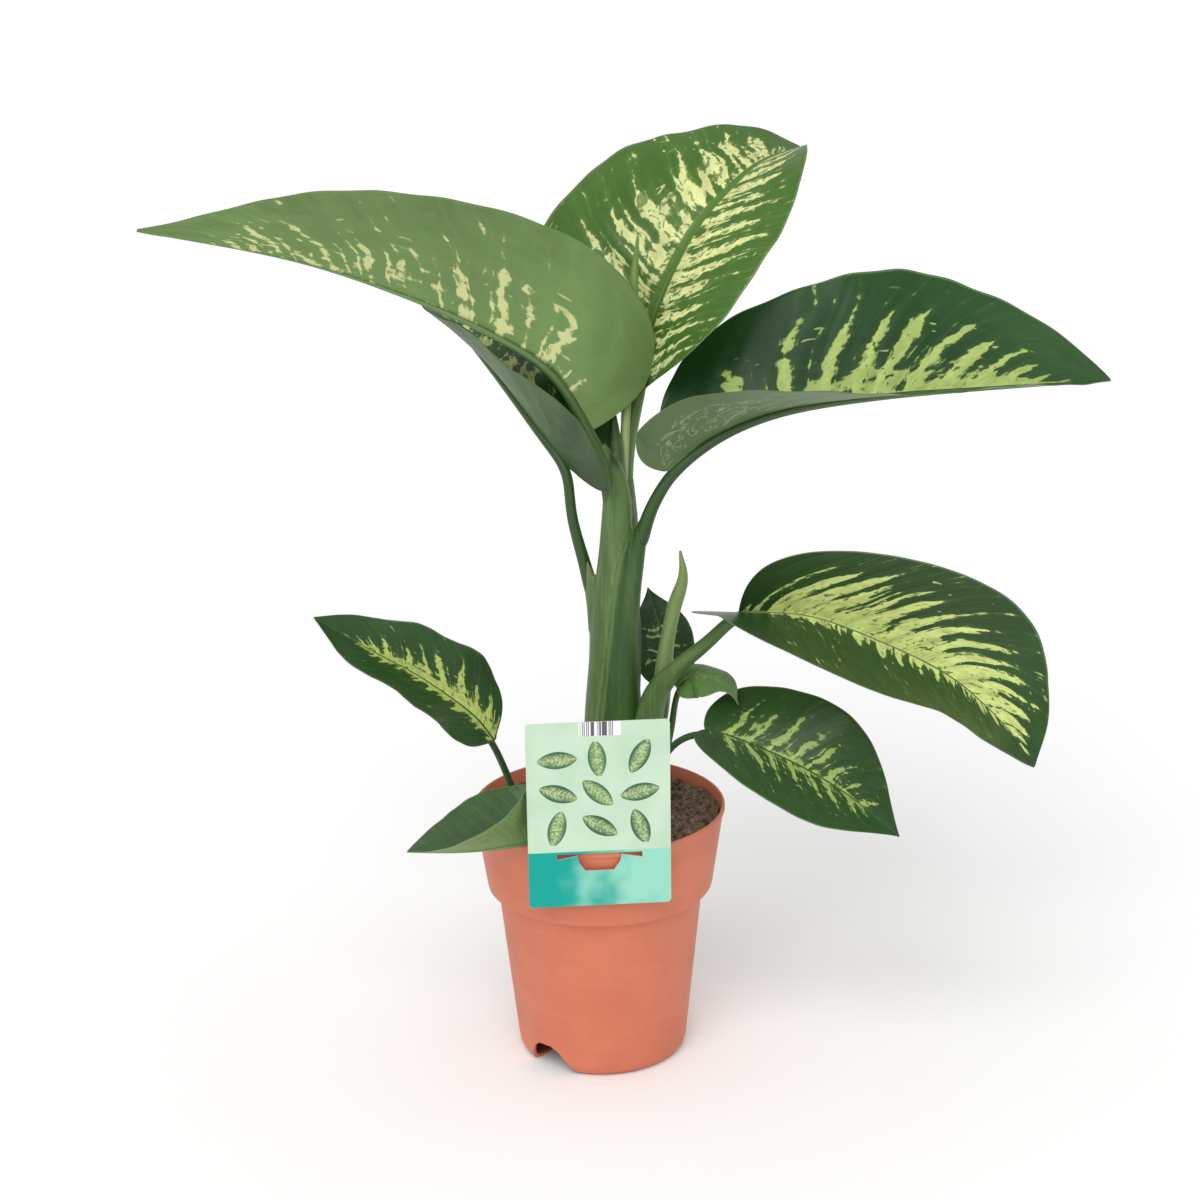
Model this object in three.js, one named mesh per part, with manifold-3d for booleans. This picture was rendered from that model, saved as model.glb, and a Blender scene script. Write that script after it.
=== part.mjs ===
// Potted dieffenbachia: a variegated house plant with one main cane and one side shoot,
// in a thin plastic nursery pot, with soil and a plant label hung on the rim.
// Millimetres, +Z up. The origin is on the floor under the middle of the pot, and the front is -Y.

import * as THREE from 'three';
import { mergeVertices } from 'three/addons/utils/BufferGeometryUtils.js';
import Module from 'manifold-3d';

const wasm = await Module();
wasm.setup();

// Driving dimensions

const clearance = 0.3;

const pot = { rimRadius: 60, height: 125, wall: 1.3, segments: 40 };

// Radius and height of each corner of the pot's outer face from the foot up, and of its inner
// face from the rim down. The collar starts at the step, and a thin lip runs round the rim.
const potOuter = [
  [34.8, 0], [39, 1.6], [40.6, 4.8], [41.1, 9], [49, 83], [53.6, 85.1], [54, 86.5],
  [59.2, 121.8], [60, 122.4], [60, 124.6], [59.6, 125],
];
const potInner = [
  [58.7, 125], [57.9, 121.8], [52.7, 87.1], [47.7, 83.2], [39.8, 9.4], [38.8, 5.2], [37.6, 2.6], [33.8, 1.3],
];

const notch = { depth: 24, innerRadius: 22, azimuths: [-42, 138] };

// Half-width places across a notch, with their heights.
const notchOutline = [[-11, -1], [-9.6, 6], [-7.5, 10.5], [-3.5, 13.2], [3.5, 13.4], [8, 10.8], [17.5, -1]];

const drain = { radius: 3, ring: 21, azimuths: [10, 70, 190, 250], sides: 10 };

// The soil fills the pot down to a cone that stands on the pot's floor. sides gives the heights
// at which it lies along the wall, and cone the radius and height of each corner under those.
const soil = {
  level: 119.5,
  relief: 1.8,
  slope: 0.02,
  gap: 0.75,
  sides: [115.7, 88, 83.1, 26],
  cone: [[31, 18], [16, 1.6]],
  rings: 5,
  segments: 32,
};

const label = {
  width: 65,
  height: 89.6,
  belowRim: 25.8,
  thickness: 0.6,
  corner: 2,
  lean: 0.5,
  turn: 4,
  liftOverRim: 0.4,
  offRim: 0.4,
  tabWidth: 20,
  tabFoot: 13,
  tabDepth: 8.6,
  slitWidth: 39,
  slitDepth: 2.8,
  tabPlay: 0.3,
  bridge: 5.8,
  slotRoom: 1,
};

const blade = {
  thickness: 0.9,
  sweep: 0.16,
  spineShare: 0.12,
  bow: 1.35,
  turn: 0.45,
  firstRow: 0.05,
  lastRow: 0.994,
};

// The raised rib under a blade: its radius as shares of the stalk's, and at its end.
const rib = { sides: 5, shares: [0.9, 0.72, 0.5], tip: 0.6, stepsPerRow: 0.6 };

const stemSides = { stalk: 7, strand: 10, roll: 8 };
const stemSteps = { stalk: 5, strand: 7, roll: 10 };

// The main cane: a column with the sheaths of four leaf stalks grown together on it.
// Each strand is a list of places up its middle and its radius at even steps.

const caneStrands = [
  {
    path: [[6, 1, 96], [7, 1, 140], [9, 1, 180], [11, 1, 222], [13, 2, 256]],
    radii: [12.5, 12, 11.5, 10.5, 8.5],
  },
  { path: [[3, -3, 150], [6, -4, 200], [9, -5, 235], [12, -7, 262]], radii: [9.5, 9.5, 9, 6.6] },
  { path: [[11.5, -2, 150], [13, -3, 200], [16, -5, 236], [19.5, -7.5, 256]], radii: [9.5, 9.2, 7.6, 5.6] },
  { path: [[5, 4, 170], [3.5, 4, 205], [-0.5, 3, 230]], radii: [9, 7.5, 4.6] },
  { path: [[12, 5, 200], [13, 7, 240], [14.5, 9, 268]], radii: [8.5, 7.2, 5.4] },
];

const shootStrands = [
  { path: [[21, -9, 98], [22, -10, 130], [24, -12, 166]], radii: [8, 8.5, 8] },
  { path: [[23, -12, 140], [26, -14, 168], [31.5, -16.5, 186]], radii: [8.5, 8, 6] },
];

// The leaves. stalk and midrib are places along the middle of the stalk and of the blade.
// face is the way the upper side looks at the base, middle and tip. The pairs that follow are
// for the left and the right half, seen from the stalk with the upper side up: half is the
// greatest width of the half, fold how far it is lifted out of flat, and curl how far it bends
// on from there, in degrees from base to tip. shape gives where the blade is widest, how far
// each half reaches back past the stalk, how full it stays after the widest place, how wide it
// is near the tip and how long that narrow end is. waves gives the number of waves along a
// margin, their height and where they start on each half.

const leaves = [
  {
    name: 'leaf_left_long',
    stalk: [[12, -7, 252], [11, -9, 280]],
    midrib: [[4, -10, 309], [-15, -4, 335], [-41, 2, 351], [-72, 8, 365], [-131, 18, 384], [-210, 34, 397]],
    stalkRadii: [6.4, 5.2, 4.4, 3.4],
    face: [[0.15, 0.85, 0.35], [0.1, 0.85, 0.55], [0, 0.85, 0.45]],
    half: [57, 50],
    fold: [[40, 19, 29], [60, 60, 50]],
    curl: [[24, -25, 8], [0, 0, 0]],
    shape: { widest: 0.29, lobes: [0, 0], full: 0.51, tipWidth: 0.44, taper: 0.5 },
    waves: { count: 2.5, height: 1.5, starts: [0.1, 0.3] },
    rows: 15,
    columns: 3,
    colour: 0x4f7a48,
  },
  {
    name: 'leaf_top',
    stalk: [[14, 10, 256], [15.5, 13.5, 290]],
    midrib: [[21, 19, 317.5], [29.5, 22, 356.5], [47, 28, 392], [69, 45, 413], [85, 66, 420], [103, 96, 420]],
    stalkRadii: [4.6, 3.8, 3.3, 3],
    face: [[-0.4, -0.85, 0.3], [-0.45, -0.8, 0.3], [-0.2, -0.55, 0.8]],
    half: [68, 50],
    fold: [[38, 8, 42], [48, 27, 30]],
    curl: [[6, -26, -11], [4, -20, 0]],
    shape: { widest: 0.34, lobes: [-0.04, -0.06], full: 0.45, tipWidth: 0.34, taper: 0.31 },
    waves: { count: 2.5, height: 1.5, starts: [0, 0.3] },
    rows: 15,
    columns: 3,
    colour: 0x5c8a45,
  },
  {
    name: 'leaf_right_long',
    stalk: [[19.3, -7, 248], [25.2, -11, 273]],
    midrib: [[35, -10, 290], [53, -8, 305], [85, -2, 316], [132, 10, 319], [184, 22, 319], [243, 36, 318]],
    stalkRadii: [5, 4.4, 3.9, 3.2],
    face: [[-0.6, -0.1, 0.75], [0.15, -0.25, 0.92], [0.1, -0.3, 0.95]],
    half: [59, 57],
    fold: [[44, 43, 43], [72, 36, 31, 31, 31]],
    curl: [[0, 0, -14], [-20, 0, 0]],
    shape: { widest: 0.56, lobes: [-0.03, 0.05], full: 0.43, tipWidth: 0.27, taper: 0.12 },
    waves: { count: 2.5, height: 1.2, starts: [0, 0.5] },
    rows: 15,
    columns: 3,
    colour: 0x2f5a35,
  },
  {
    name: 'leaf_left_behind',
    stalk: [[1, 3.5, 220], [-5.5, 2.5, 247], [-10.5, 2, 268]],
    midrib: [[-11, 4, 289], [-24, 16, 304], [-43, 44, 323], [-66, 88, 341], [-92, 140, 359]],
    stalkRadii: [4.2, 3, 2.5, 2.4],
    face: [[0.45, -0.15, 0.87], [0.5, -0.32, 0.8], [0.3, -0.2, 0.9]],
    half: [46, 50],
    fold: [[55, 24, 14], [34, 33, 20]],
    curl: [[0, 0, 0], [0, 0, 0]],
    shape: { widest: 0.45, lobes: [0.2, 0.04], full: 0.5, tipWidth: 0.24, taper: 0.35 },
    waves: { count: 2.5, height: 1.5, starts: [0, 0.3] },
    rows: 14,
    columns: 3,
    colour: 0x3a6238,
  },
  {
    name: 'leaf_shoot_right',
    stalk: [[29.5, -15.5, 178], [43, -19.5, 207]],
    midrib: [
      [65, -24, 227], [96, -34, 228], [127, -44, 219],
      [158, -54, 205], [182, -62, 184], [195, -68, 166],
    ],
    stalkRadii: [5.8, 3.8, 3, 2.6],
    face: [[-0.1, -0.85, 0.5], [0.25, -0.87, 0.18], [0.35, -0.65, 0.6]],
    half: [44, 48],
    fold: [[55, 22, 12], [68, 42, 30]],
    curl: [[0, 0, 0], [-6, 34, 26]],
    shape: { widest: 0.62, lobes: [-0.02, 0.09], full: 0.54, tipWidth: 0.25, taper: 0.13 },
    waves: { count: 3, height: 1.2, starts: [0, 0.3] },
    rows: 14,
    columns: 3,
    colour: 0x56803f,
  },
  {
    name: 'leaf_right_low',
    stalk: [[24, -13, 126], [28, -21, 153], [37, -27, 169.5]],
    midrib: [[49, -30, 173], [65, -34, 169], [92, -40, 158], [115, -44, 144], [138, -48, 125]],
    stalkRadii: [2.6, 1.9, 1.6, 1.6],
    face: [[0.2, -0.6, 0.75], [0.2, -0.8, 0.55], [0.35, -0.75, 0.45]],
    half: [33, 29],
    fold: [[0, 16, 8], [28, 22, 5]],
    curl: [[-10, -5, 0], [0, 0, 0]],
    shape: { widest: 0.41, lobes: [0.03, 0.04], full: 0.48, tipWidth: 0.2, taper: 0.2 },
    waves: { count: 2, height: 1.2, starts: [0.1, 0.3] },
    rows: 11,
    columns: 3,
    colour: 0x33603a,
  },
  {
    name: 'leaf_left_small',
    stalk: [[-31, -10, 102], [-36, -12.5, 126], [-42, -16, 143.5]],
    midrib: [[-47.5, -23.5, 166], [-58, -26, 181], [-81, -30, 201], [-100, -34, 214], [-127, -38, 233]],
    stalkRadii: [2.2, 1.8, 1.7, 1.6],
    face: [[0.1, -0.55, 0.8], [-0.25, -0.62, 0.75], [-0.15, -0.62, 0.77]],
    half: [24, 24],
    fold: [[17, 32, 9], [2, 38, 12]],
    curl: [[-8, 9, 2], [-20, 5, 0]],
    shape: { widest: 0.36, lobes: [-0.04, -0.04], full: 0.5, tipWidth: 0.24, taper: 0.12 },
    waves: { count: 3, height: 1.2, starts: [0, 0.2] },
    rows: 11,
    columns: 3,
    colour: 0x33603a,
  },
  {
    name: 'leaf_left_rim',
    stalk: [[0, -22, 98], [-1, -26, 120], [-4, -34, 134]],
    midrib: [
      [-12, -42, 133.5], [-27, -50.5, 128.5], [-45, -58.5, 128.2],
      [-65, -65.5, 129.2], [-87, -69.5, 131.2],
    ],
    stalkRadii: [2.4, 2, 1.8, 1.6],
    face: [[-0.1, -0.15, 0.95], [-0.2, -0.27, 0.9], [-0.1, -0.27, 0.9]],
    half: [29, 30],
    fold: [[112, 99, 64, 48, 38], [46, 26, 26]],
    curl: [[0, 0, 0], [0, 0, 0]],
    shape: { widest: 0.35, lobes: [-0.18, 0.05], full: 0.55, tipWidth: 0.25, taper: 0.14 },
    waves: { count: 2, height: 0.6, starts: [0, 0.3] },
    rows: 11,
    columns: 3,
    colour: 0x35593a,
  },
  {
    name: 'leaf_curled',
    stalk: [[31, -8, 150], [35, -9, 166], [36, -9, 178]],
    midrib: [[37, -10, 186], [45, -13, 193], [53, -18, 194], [61, -24, 191], [65, -30, 184]],
    stalkRadii: [1.8, 1.6, 1.5, 1.4],
    face: [[0, -0.6, 0.8], [0.2, -0.5, 0.8], [0.8, -0.3, 0.5]],
    half: [9, 12],
    fold: [[10, 5, 5], [10, 5, 5]],
    curl: [[-40, -40, 0], [-60, -60, 0]],
    shape: { widest: 0.45, lobes: [0.02, 0.02], full: 0.5, tipWidth: 0.2, taper: 0.35 },
    waves: { count: 2, height: 0.4, starts: [0, 0.3] },
    rows: 8,
    columns: 2,
    colour: 0x5d8c3f,
  },
  {
    name: 'leaf_behind_cane',
    stalk: [[15, 4, 122], [25, 6, 141], [31.5, 11, 157]],
    midrib: [[34, 18, 178], [33, 22, 191], [30, 28, 205], [25, 36, 221]],
    stalkRadii: [2.4, 2, 1.8, 1.6],
    face: [[0.1, -0.9, 0.3], [0.1, -0.9, 0.3], [0.1, -0.9, 0.3]],
    half: [16, 15],
    fold: [[10, 10, 5], [15, 20, 5]],
    curl: [[0, 0, 0], [0, 0, 0]],
    shape: { widest: 0.42, lobes: [0.02, 0.02], full: 0.5, tipWidth: 0.22, taper: 0.3 },
    waves: { count: 2, height: 0.8, starts: [0, 0.3] },
    rows: 8,
    columns: 2,
    colour: 0x33603a,
  },
];

// Two young leaves that are still rolled into a spear.

const rolledLeaves = [
  {
    name: 'leaf_roll_main',
    path: [[11.5, 3, 254], [13, 4.5, 288], [16, 8.5, 328], [19.5, 10.5, 370], [22, 10, 394.5]],
    radii: [2.9, 2.8, 2.7, 3, 0.6],
  },
  {
    name: 'leaf_roll_shoot',
    path: [[29, -6, 172], [32, -4, 200], [36, -4, 222], [40.5, -5, 238], [39.5, -4, 251]],
    radii: [3.6, 3.5, 3.2, 3.2, 0.6],
  },
];

const finishes = {
  pot: { color: 0xd67c60, roughness: 0.5, metalness: 0 },
  soil: { color: 0x3a2a22, roughness: 0.95, metalness: 0 },
  label: { color: 0xc9e8cf, roughness: 0.45, metalness: 0 },
  cane: { color: 0x4f7a3c, roughness: 0.5, metalness: 0 },
  roll: { color: 0x6d9a55, roughness: 0.4, metalness: 0 },
  leafRoughness: 0.4,
};

// Solids

const degrees = THREE.MathUtils.degToRad;

function solidFrom(geometry) {
  const plain = new THREE.BufferGeometry();
  plain.setAttribute('position', geometry.getAttribute('position'));
  if (geometry.index) plain.setIndex(geometry.index);
  const merged = mergeVertices(plain, 1e-4);
  const positions = merged.getAttribute('position').array;
  const mesh = new wasm.Mesh({
    numProp: 3,
    vertProperties: Float32Array.from(positions),
    triVerts: Uint32Array.from(merged.index.array),
  });
  return new wasm.Manifold(mesh);
}

// Edges shorter than this are closed up, so that no sliver is left by a cut.
const shortestEdge = 0.02;

function geometryFrom(solid) {
  const { vertProperties, triVerts } = solid.simplify(shortestEdge).getMesh();
  const geometry = new THREE.BufferGeometry();
  geometry.setAttribute('position', new THREE.BufferAttribute(vertProperties, 3));
  geometry.setIndex(new THREE.BufferAttribute(triVerts, 1));
  geometry.computeVertexNormals();
  return geometry;
}

function largestPiece(solid) {
  return solid.decompose().reduce((a, b) => (a.volume() > b.volume() ? a : b));
}

function named(name, solid, finish) {
  const mesh = new THREE.Mesh(geometryFrom(solid), new THREE.MeshStandardMaterial(finish));
  mesh.name = name;
  return mesh;
}

// Value at u (0 to 1) on a smooth line through values at even steps.
function blend(values, u) {
  const curve = new THREE.CatmullRomCurve3(values.map((v) => new THREE.Vector3(v, 0, 0)), false, 'catmullrom');
  return curve.getPoint(THREE.MathUtils.clamp(u, 0, 1)).x;
}

function routeThrough(points) {
  return new THREE.CatmullRomCurve3(points.map((p) => new THREE.Vector3(...p)), false, 'catmullrom');
}

// A closed round stem along a route: one ring of points at each step and a flat cap at each end.
function stem(points, radii, extra, sides, steps) {
  const route = routeThrough(points);
  const positions = [];
  const index = [];
  for (let i = 0; i <= steps; i += 1) {
    const u = i / steps;
    const middle = route.getPointAt(u);
    const along = route.getTangentAt(u);
    if (i === 0) middle.addScaledVector(along, -extra);
    if (i === steps) middle.addScaledVector(along, extra);
    const front = new THREE.Vector3(0, -1, 0.3);
    front.addScaledVector(along, -front.dot(along)).normalize();
    const side = new THREE.Vector3().crossVectors(along, front);
    const radius = blend(radii, u) + extra;
    for (let k = 0; k < sides; k += 1) {
      const turn = (2 * Math.PI * k) / sides;
      const point = middle.clone();
      point.addScaledVector(front, radius * Math.cos(turn));
      point.addScaledVector(side, radius * Math.sin(turn));
      positions.push(...point.toArray());
    }
  }
  for (let i = 0; i < steps; i += 1) {
    for (let k = 0; k < sides; k += 1) {
      const a = i * sides + k;
      const b = i * sides + ((k + 1) % sides);
      index.push(a, b, b + sides, a, b + sides, a + sides);
    }
  }
  const lastRing = steps * sides;
  for (let k = 1; k < sides - 1; k += 1) {
    index.push(0, k + 1, k);
    index.push(lastRing, lastRing + k, lastRing + k + 1);
  }
  const geometry = new THREE.BufferGeometry();
  geometry.setAttribute('position', new THREE.Float32BufferAttribute(positions, 3));
  geometry.setIndex(index);
  return solidFrom(geometry);
}

function joined(solids) {
  return solids.reduce((a, b) => a.add(b));
}

function strandBundle(strands, extra = 0) {
  const solids = strands.map(({ path, radii }) => stem(path, radii, extra, stemSides.strand, stemSteps.strand));
  return joined(solids);
}

// Pot

function potWall() {
  const profile = [[0, 0], ...potOuter, ...potInner, [0, pot.wall]];
  const turned = new THREE.LatheGeometry(profile.map(([r, z]) => new THREE.Vector2(r, z)), pot.segments);
  turned.rotateX(Math.PI / 2);
  return solidFrom(turned);
}

// A drainage notch: an arch with one steep and one sloping side that cuts through the corner.
function drainageNotch(azimuth) {
  const outline = new THREE.Shape(notchOutline.map(([x, z]) => new THREE.Vector2(x, z)));
  const block = new THREE.ExtrudeGeometry(outline, { depth: notch.depth, bevelEnabled: false });
  block.rotateX(Math.PI / 2);
  block.translate(0, -notch.innerRadius, 0);
  block.rotateZ(degrees(azimuth));
  return solidFrom(block);
}

function drainHole(azimuth) {
  const bore = new THREE.CylinderGeometry(drain.radius, drain.radius, 8, drain.sides);
  bore.rotateX(Math.PI / 2);
  bore.translate(0, -drain.ring, 0);
  bore.rotateZ(degrees(azimuth));
  return solidFrom(bore);
}

function buildPot() {
  const cuts = [...notch.azimuths.map(drainageNotch), ...drain.azimuths.map(drainHole)];
  return cuts.reduce((body, cut) => body.subtract(cut), potWall());
}

// Soil: a plug that fills the pot, with an uneven crumbly top.

function soilHeight(x, y) {
  const coarse = Math.sin(x * 0.21 + 1.3) * Math.cos(y * 0.17 - 0.4);
  const fine = Math.sin(x * 0.53 - y * 0.31) * Math.cos(y * 0.61 + x * 0.13 + 2);
  return soil.level + soil.slope * x + soil.relief * (0.6 * coarse + 0.5 * fine);
}

// Radius of the pot's inner face at a height.
function innerRadius(z) {
  const below = potInner.findIndex(([, height]) => height <= z);
  const [lowRadius, low] = potInner[below];
  const [highRadius, high] = potInner[below - 1];
  return lowRadius + ((highRadius - lowRadius) * (z - low)) / (high - low);
}

function soilPlug() {
  const { rings, segments, sides, cone, gap } = soil;
  const positions = [0, 0, soilHeight(0, 0)];
  const index = [];
  const ring = (radius, height) => {
    for (let k = 0; k < segments; k += 1) {
      const turn = (2 * Math.PI * k) / segments;
      const x = radius * Math.cos(turn);
      const y = radius * Math.sin(turn);
      positions.push(x, y, height === undefined ? soilHeight(x, y) : height);
    }
  };
  const wallRings = sides.map((z) => [innerRadius(z) - gap, z]);
  const topRadius = wallRings[0][0];
  for (let i = 1; i <= rings; i += 1) ring((topRadius * i) / rings);
  const lower = [...wallRings.slice(1), ...cone];
  lower.forEach(([radius, z]) => ring(radius, z));
  const ringCount = rings + lower.length;
  const floor = positions.length / 3;
  positions.push(0, 0, cone[cone.length - 1][1]);
  for (let k = 0; k < segments; k += 1) {
    const next = (k + 1) % segments;
    index.push(0, 1 + k, 1 + next);
    for (let i = 0; i < ringCount - 1; i += 1) {
      const a = 1 + i * segments + k;
      const b = 1 + i * segments + next;
      index.push(a, a + segments, b + segments, a, b + segments, b);
    }
    const last = 1 + (ringCount - 1) * segments;
    index.push(last + k, floor, last + next);
  }
  const geometry = new THREE.BufferGeometry();
  geometry.setAttribute('position', new THREE.Float32BufferAttribute(positions, 3));
  geometry.setIndex(index);
  return solidFrom(geometry);
}

// Plant label: a stiff card that stands against the rim, with a tab that was pressed out of it
// and reaches over the rim and down inside.

function plate(outline, thickness) {
  const sheet = new THREE.ExtrudeGeometry(outline, { depth: thickness, bevelEnabled: false, curveSegments: 4 });
  sheet.rotateX(Math.PI / 2);
  return sheet;
}

// The tab is a bowl shape, and the hole that it leaves has a short slit on either side of it.
function tabOutline(inset, wings) {
  const top = label.tabWidth / 2 - inset;
  const foot = label.tabFoot / 2 - inset;
  const depth = label.tabDepth - inset;
  const wing = label.slitWidth / 2;
  const half = [[foot, -depth], [top - 0.8, -depth * 0.55], [top, -1]];
  if (wings) half.push([wing, -label.slitDepth]);
  half.push([wings ? wing : top, 0]);
  const mirrored = half.map(([x, z]) => [-x, z]).reverse();
  return [...half, ...mirrored].map(([x, z]) => new THREE.Vector2(x, z));
}

function buildLabel() {
  const { width, height, belowRim, thickness, corner, tabWidth, tabPlay, bridge } = label;
  const left = -width / 2;
  const right = width / 2;
  const low = -belowRim;
  const high = height - belowRim;
  const card = new THREE.Shape();
  card.moveTo(left + corner, low);
  card.lineTo(right - corner, low);
  card.absarc(right - corner, low + corner, corner, -Math.PI / 2, 0);
  card.lineTo(right, high - corner);
  card.absarc(right - corner, high - corner, corner, 0, Math.PI / 2);
  card.lineTo(left + corner, high);
  card.absarc(left + corner, high - corner, corner, Math.PI / 2, Math.PI);
  card.lineTo(left, low + corner);
  card.absarc(left + corner, low + corner, corner, Math.PI, 1.5 * Math.PI);
  card.holes.push(new THREE.Path(tabOutline(0, true)));
  const front = plate(card, thickness);
  const tab = plate(new THREE.Shape(tabOutline(tabPlay, false)), thickness);
  tab.translate(0, bridge, thickness / 2);
  const fold = new THREE.BoxGeometry(tabWidth - 2 * tabPlay, bridge + thickness, thickness);
  fold.translate(0, (bridge - thickness) / 2, thickness / 2);
  return joined([front, fold, tab].map(solidFrom));
}

// The slot that the tab stands in, in the soil behind the wall.
function tabSlot() {
  const { tabWidth, tabDepth, thickness, bridge, slotRoom } = label;
  const high = 2 * tabDepth;
  const slot = new THREE.BoxGeometry(tabWidth + slotRoom, thickness + 3 * slotRoom, high);
  return slot.translate(0, bridge - thickness / 2 - slotRoom, high / 2 - tabDepth - slotRoom / 2);
}

// Leaves

// Half a blade's outline at t from base to tip: how far along the midrib and how far across,
// both as shares of the blade's length and half width.
function outlineAt(shape, lobe, t) {
  const { widest, full, tipWidth, taper } = shape;
  const bezier = (a, b, c, d, s) => {
    const r = 1 - s;
    return r * r * r * a + 3 * r * r * s * b + 3 * r * s * s * c + s * s * s * d;
  };
  const { turn } = blade;
  if (t < turn) {
    const s = t / turn;
    return [
      bezier(0, -1.9 * lobe, 0.15 * widest - 0.8 * lobe, widest, s),
      bezier(0, 0.45, 1, 1, s),
    ];
  }
  const s = (t - turn) / (1 - turn);
  const rest = 1 - widest;
  return [
    bezier(widest, widest + full * rest, 1 - taper * rest, 1, s),
    bezier(1, 1, tipWidth, 0, s),
  ];
}

// The middle surface of a blade at row t and across v, from -1 on the left margin over 0 on the
// midrib to 1 on the right margin. A row runs forwards from the midrib as the side veins do.
function bladePoint(leaf, route, length, t, v) {
  const side = v < 0 ? 0 : 1;
  const share = Math.abs(v);
  const starts = [0, 1].map((k) => {
    const [along, across] = outlineAt(leaf.shape, leaf.shape.lobes[k], t);
    return blade.spineShare * t + (1 - blade.spineShare) * Math.max(0, along - blade.sweep * across);
  });
  const start = (starts[0] + starts[1]) / 2;
  const [edgeAlong, edgeAcross] = outlineAt(leaf.shape, leaf.shape.lobes[side], t);
  const along = start + (edgeAlong - start) * share ** blade.bow;
  const place = THREE.MathUtils.clamp(along, 0, 1);
  const middle = route.getPointAt(place);
  const forward = route.getTangentAt(place);
  if (along < 0) middle.addScaledVector(forward, along * length);
  const faces = leaf.face.map((f) => new THREE.Vector3(...f).normalize().toArray());
  const up = routeThrough(faces).getPoint(place);
  up.addScaledVector(forward, -up.dot(forward)).normalize();
  const right = new THREE.Vector3().crossVectors(forward, up);
  const across = share * edgeAcross * leaf.half[side];
  const bend = degrees(blend(leaf.curl[side], place)) * share * edgeAcross;
  const lift = degrees(blend(leaf.fold[side], place)) + bend / 2;
  const chord = Math.abs(bend) < 1e-6 ? across : (across * Math.sin(bend / 2)) / (bend / 2);
  const { count, height, starts: phases } = leaf.waves;
  const wave = height * share * share * Math.sin(2 * Math.PI * (count * place + phases[side]));
  const settle = Math.sqrt(Math.max(0, Math.sin(Math.PI * place)));
  middle.addScaledVector(right, Math.sign(v) * chord * Math.cos(lift));
  middle.addScaledVector(up, chord * Math.sin(lift) + wave * settle);
  return middle;
}

// A blade with its thickness: the middle surface moved half the thickness each way along its
// own normals, with both faces split into triangles alike, and a rim round the margin.
function bladeSolid(leaf) {
  const route = routeThrough(leaf.midrib);
  const length = route.getLength();
  const { rows, columns } = leaf;
  const wide = 2 * columns + 1;
  const surface = [];
  for (let i = 0; i <= rows; i += 1) {
    const t = THREE.MathUtils.lerp(blade.firstRow, blade.lastRow, i / rows);
    for (let j = 0; j < wide; j += 1) {
      surface.push(bladePoint(leaf, route, length, t, j / columns - 1));
    }
  }
  const at = (i, j) => surface[i * wide + j];
  const normals = surface.map((_, k) => {
    const i = Math.floor(k / wide);
    const j = k % wide;
    const down = at(Math.min(i + 1, rows), j).clone().sub(at(Math.max(i - 1, 0), j));
    const over = at(i, Math.min(j + 1, wide - 1)).clone().sub(at(i, Math.max(j - 1, 0)));
    return over.cross(down).normalize();
  });
  const positions = [];
  for (const way of [0.5, -0.5]) {
    surface.forEach((point, k) => {
      positions.push(...point.clone().addScaledVector(normals[k], way * blade.thickness).toArray());
    });
  }
  const under = surface.length;
  const index = [];
  for (let i = 0; i < rows; i += 1) {
    for (let j = 0; j < wide - 1; j += 1) {
      const a = i * wide + j;
      const b = a + 1;
      const c = a + wide;
      const d = c + 1;
      if (j < columns) {
        index.push(a, b, d, a, d, c);
        index.push(under + a, under + d, under + b, under + a, under + c, under + d);
      } else {
        index.push(a, b, c, b, d, c);
        index.push(under + a, under + c, under + b, under + b, under + c, under + d);
      }
    }
  }
  const rim = [];
  for (let j = 0; j < wide - 1; j += 1) rim.push(j);
  for (let i = 0; i < rows; i += 1) rim.push(i * wide + wide - 1);
  for (let j = wide - 1; j > 0; j -= 1) rim.push(rows * wide + j);
  for (let i = rows; i > 0; i -= 1) rim.push(i * wide);
  rim.forEach((a, k) => {
    const b = rim[(k + 1) % rim.length];
    index.push(a, under + b, b, a, under + a, under + b);
  });
  const geometry = new THREE.BufferGeometry();
  geometry.setAttribute('position', new THREE.Float32BufferAttribute(positions, 3));
  geometry.setIndex(index);
  return solidFrom(geometry);
}

function leafStalk(leaf, extra = 0) {
  return stem([...leaf.stalk, leaf.midrib[0]], leaf.stalkRadii, extra, stemSides.stalk, stemSteps.stalk);
}

function leafRib(leaf) {
  const base = leaf.stalkRadii[leaf.stalkRadii.length - 1];
  const radii = [...rib.shares.map((share) => share * base), rib.tip];
  return stem(leaf.midrib.slice(0, -1), radii, 0, rib.sides, Math.round(leaf.rows * rib.stepsPerRow));
}

function buildLeaf(leaf) {
  return joined([bladeSolid(leaf), leafStalk(leaf), leafRib(leaf)]);
}

// Assembly

const plant = new THREE.Group();
plant.name = 'potted_dieffenbachia';

const cane = strandBundle(caneStrands);
const stemsTaken = [strandBundle(caneStrands, clearance), strandBundle(shootStrands, clearance)];
const shoot = strandBundle(shootStrands).subtract(stemsTaken[0]);

plant.add(named('cane', cane, finishes.cane));
plant.add(named('side_shoot', largestPiece(shoot), finishes.cane));

for (const roll of rolledLeaves) {
  const spear = stem(roll.path, roll.radii, 0, stemSides.roll, stemSteps.roll);
  const seated = stemsTaken.reduce((body, taken) => body.subtract(taken), spear);
  plant.add(named(roll.name, largestPiece(seated), finishes.roll));
}

for (const leaf of leaves) {
  const seated = stemsTaken.reduce((body, taken) => body.subtract(taken), buildLeaf(leaf));
  const finish = { color: leaf.colour, roughness: finishes.leafRoughness, metalness: 0 };
  plant.add(named(leaf.name, largestPiece(seated), finish));
}

const rooted = leaves.filter((leaf) => leaf.stalk[0][2] < soil.level - soil.relief);
const stalkHoles = rooted.map((leaf) => leafStalk(leaf, clearance));

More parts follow.
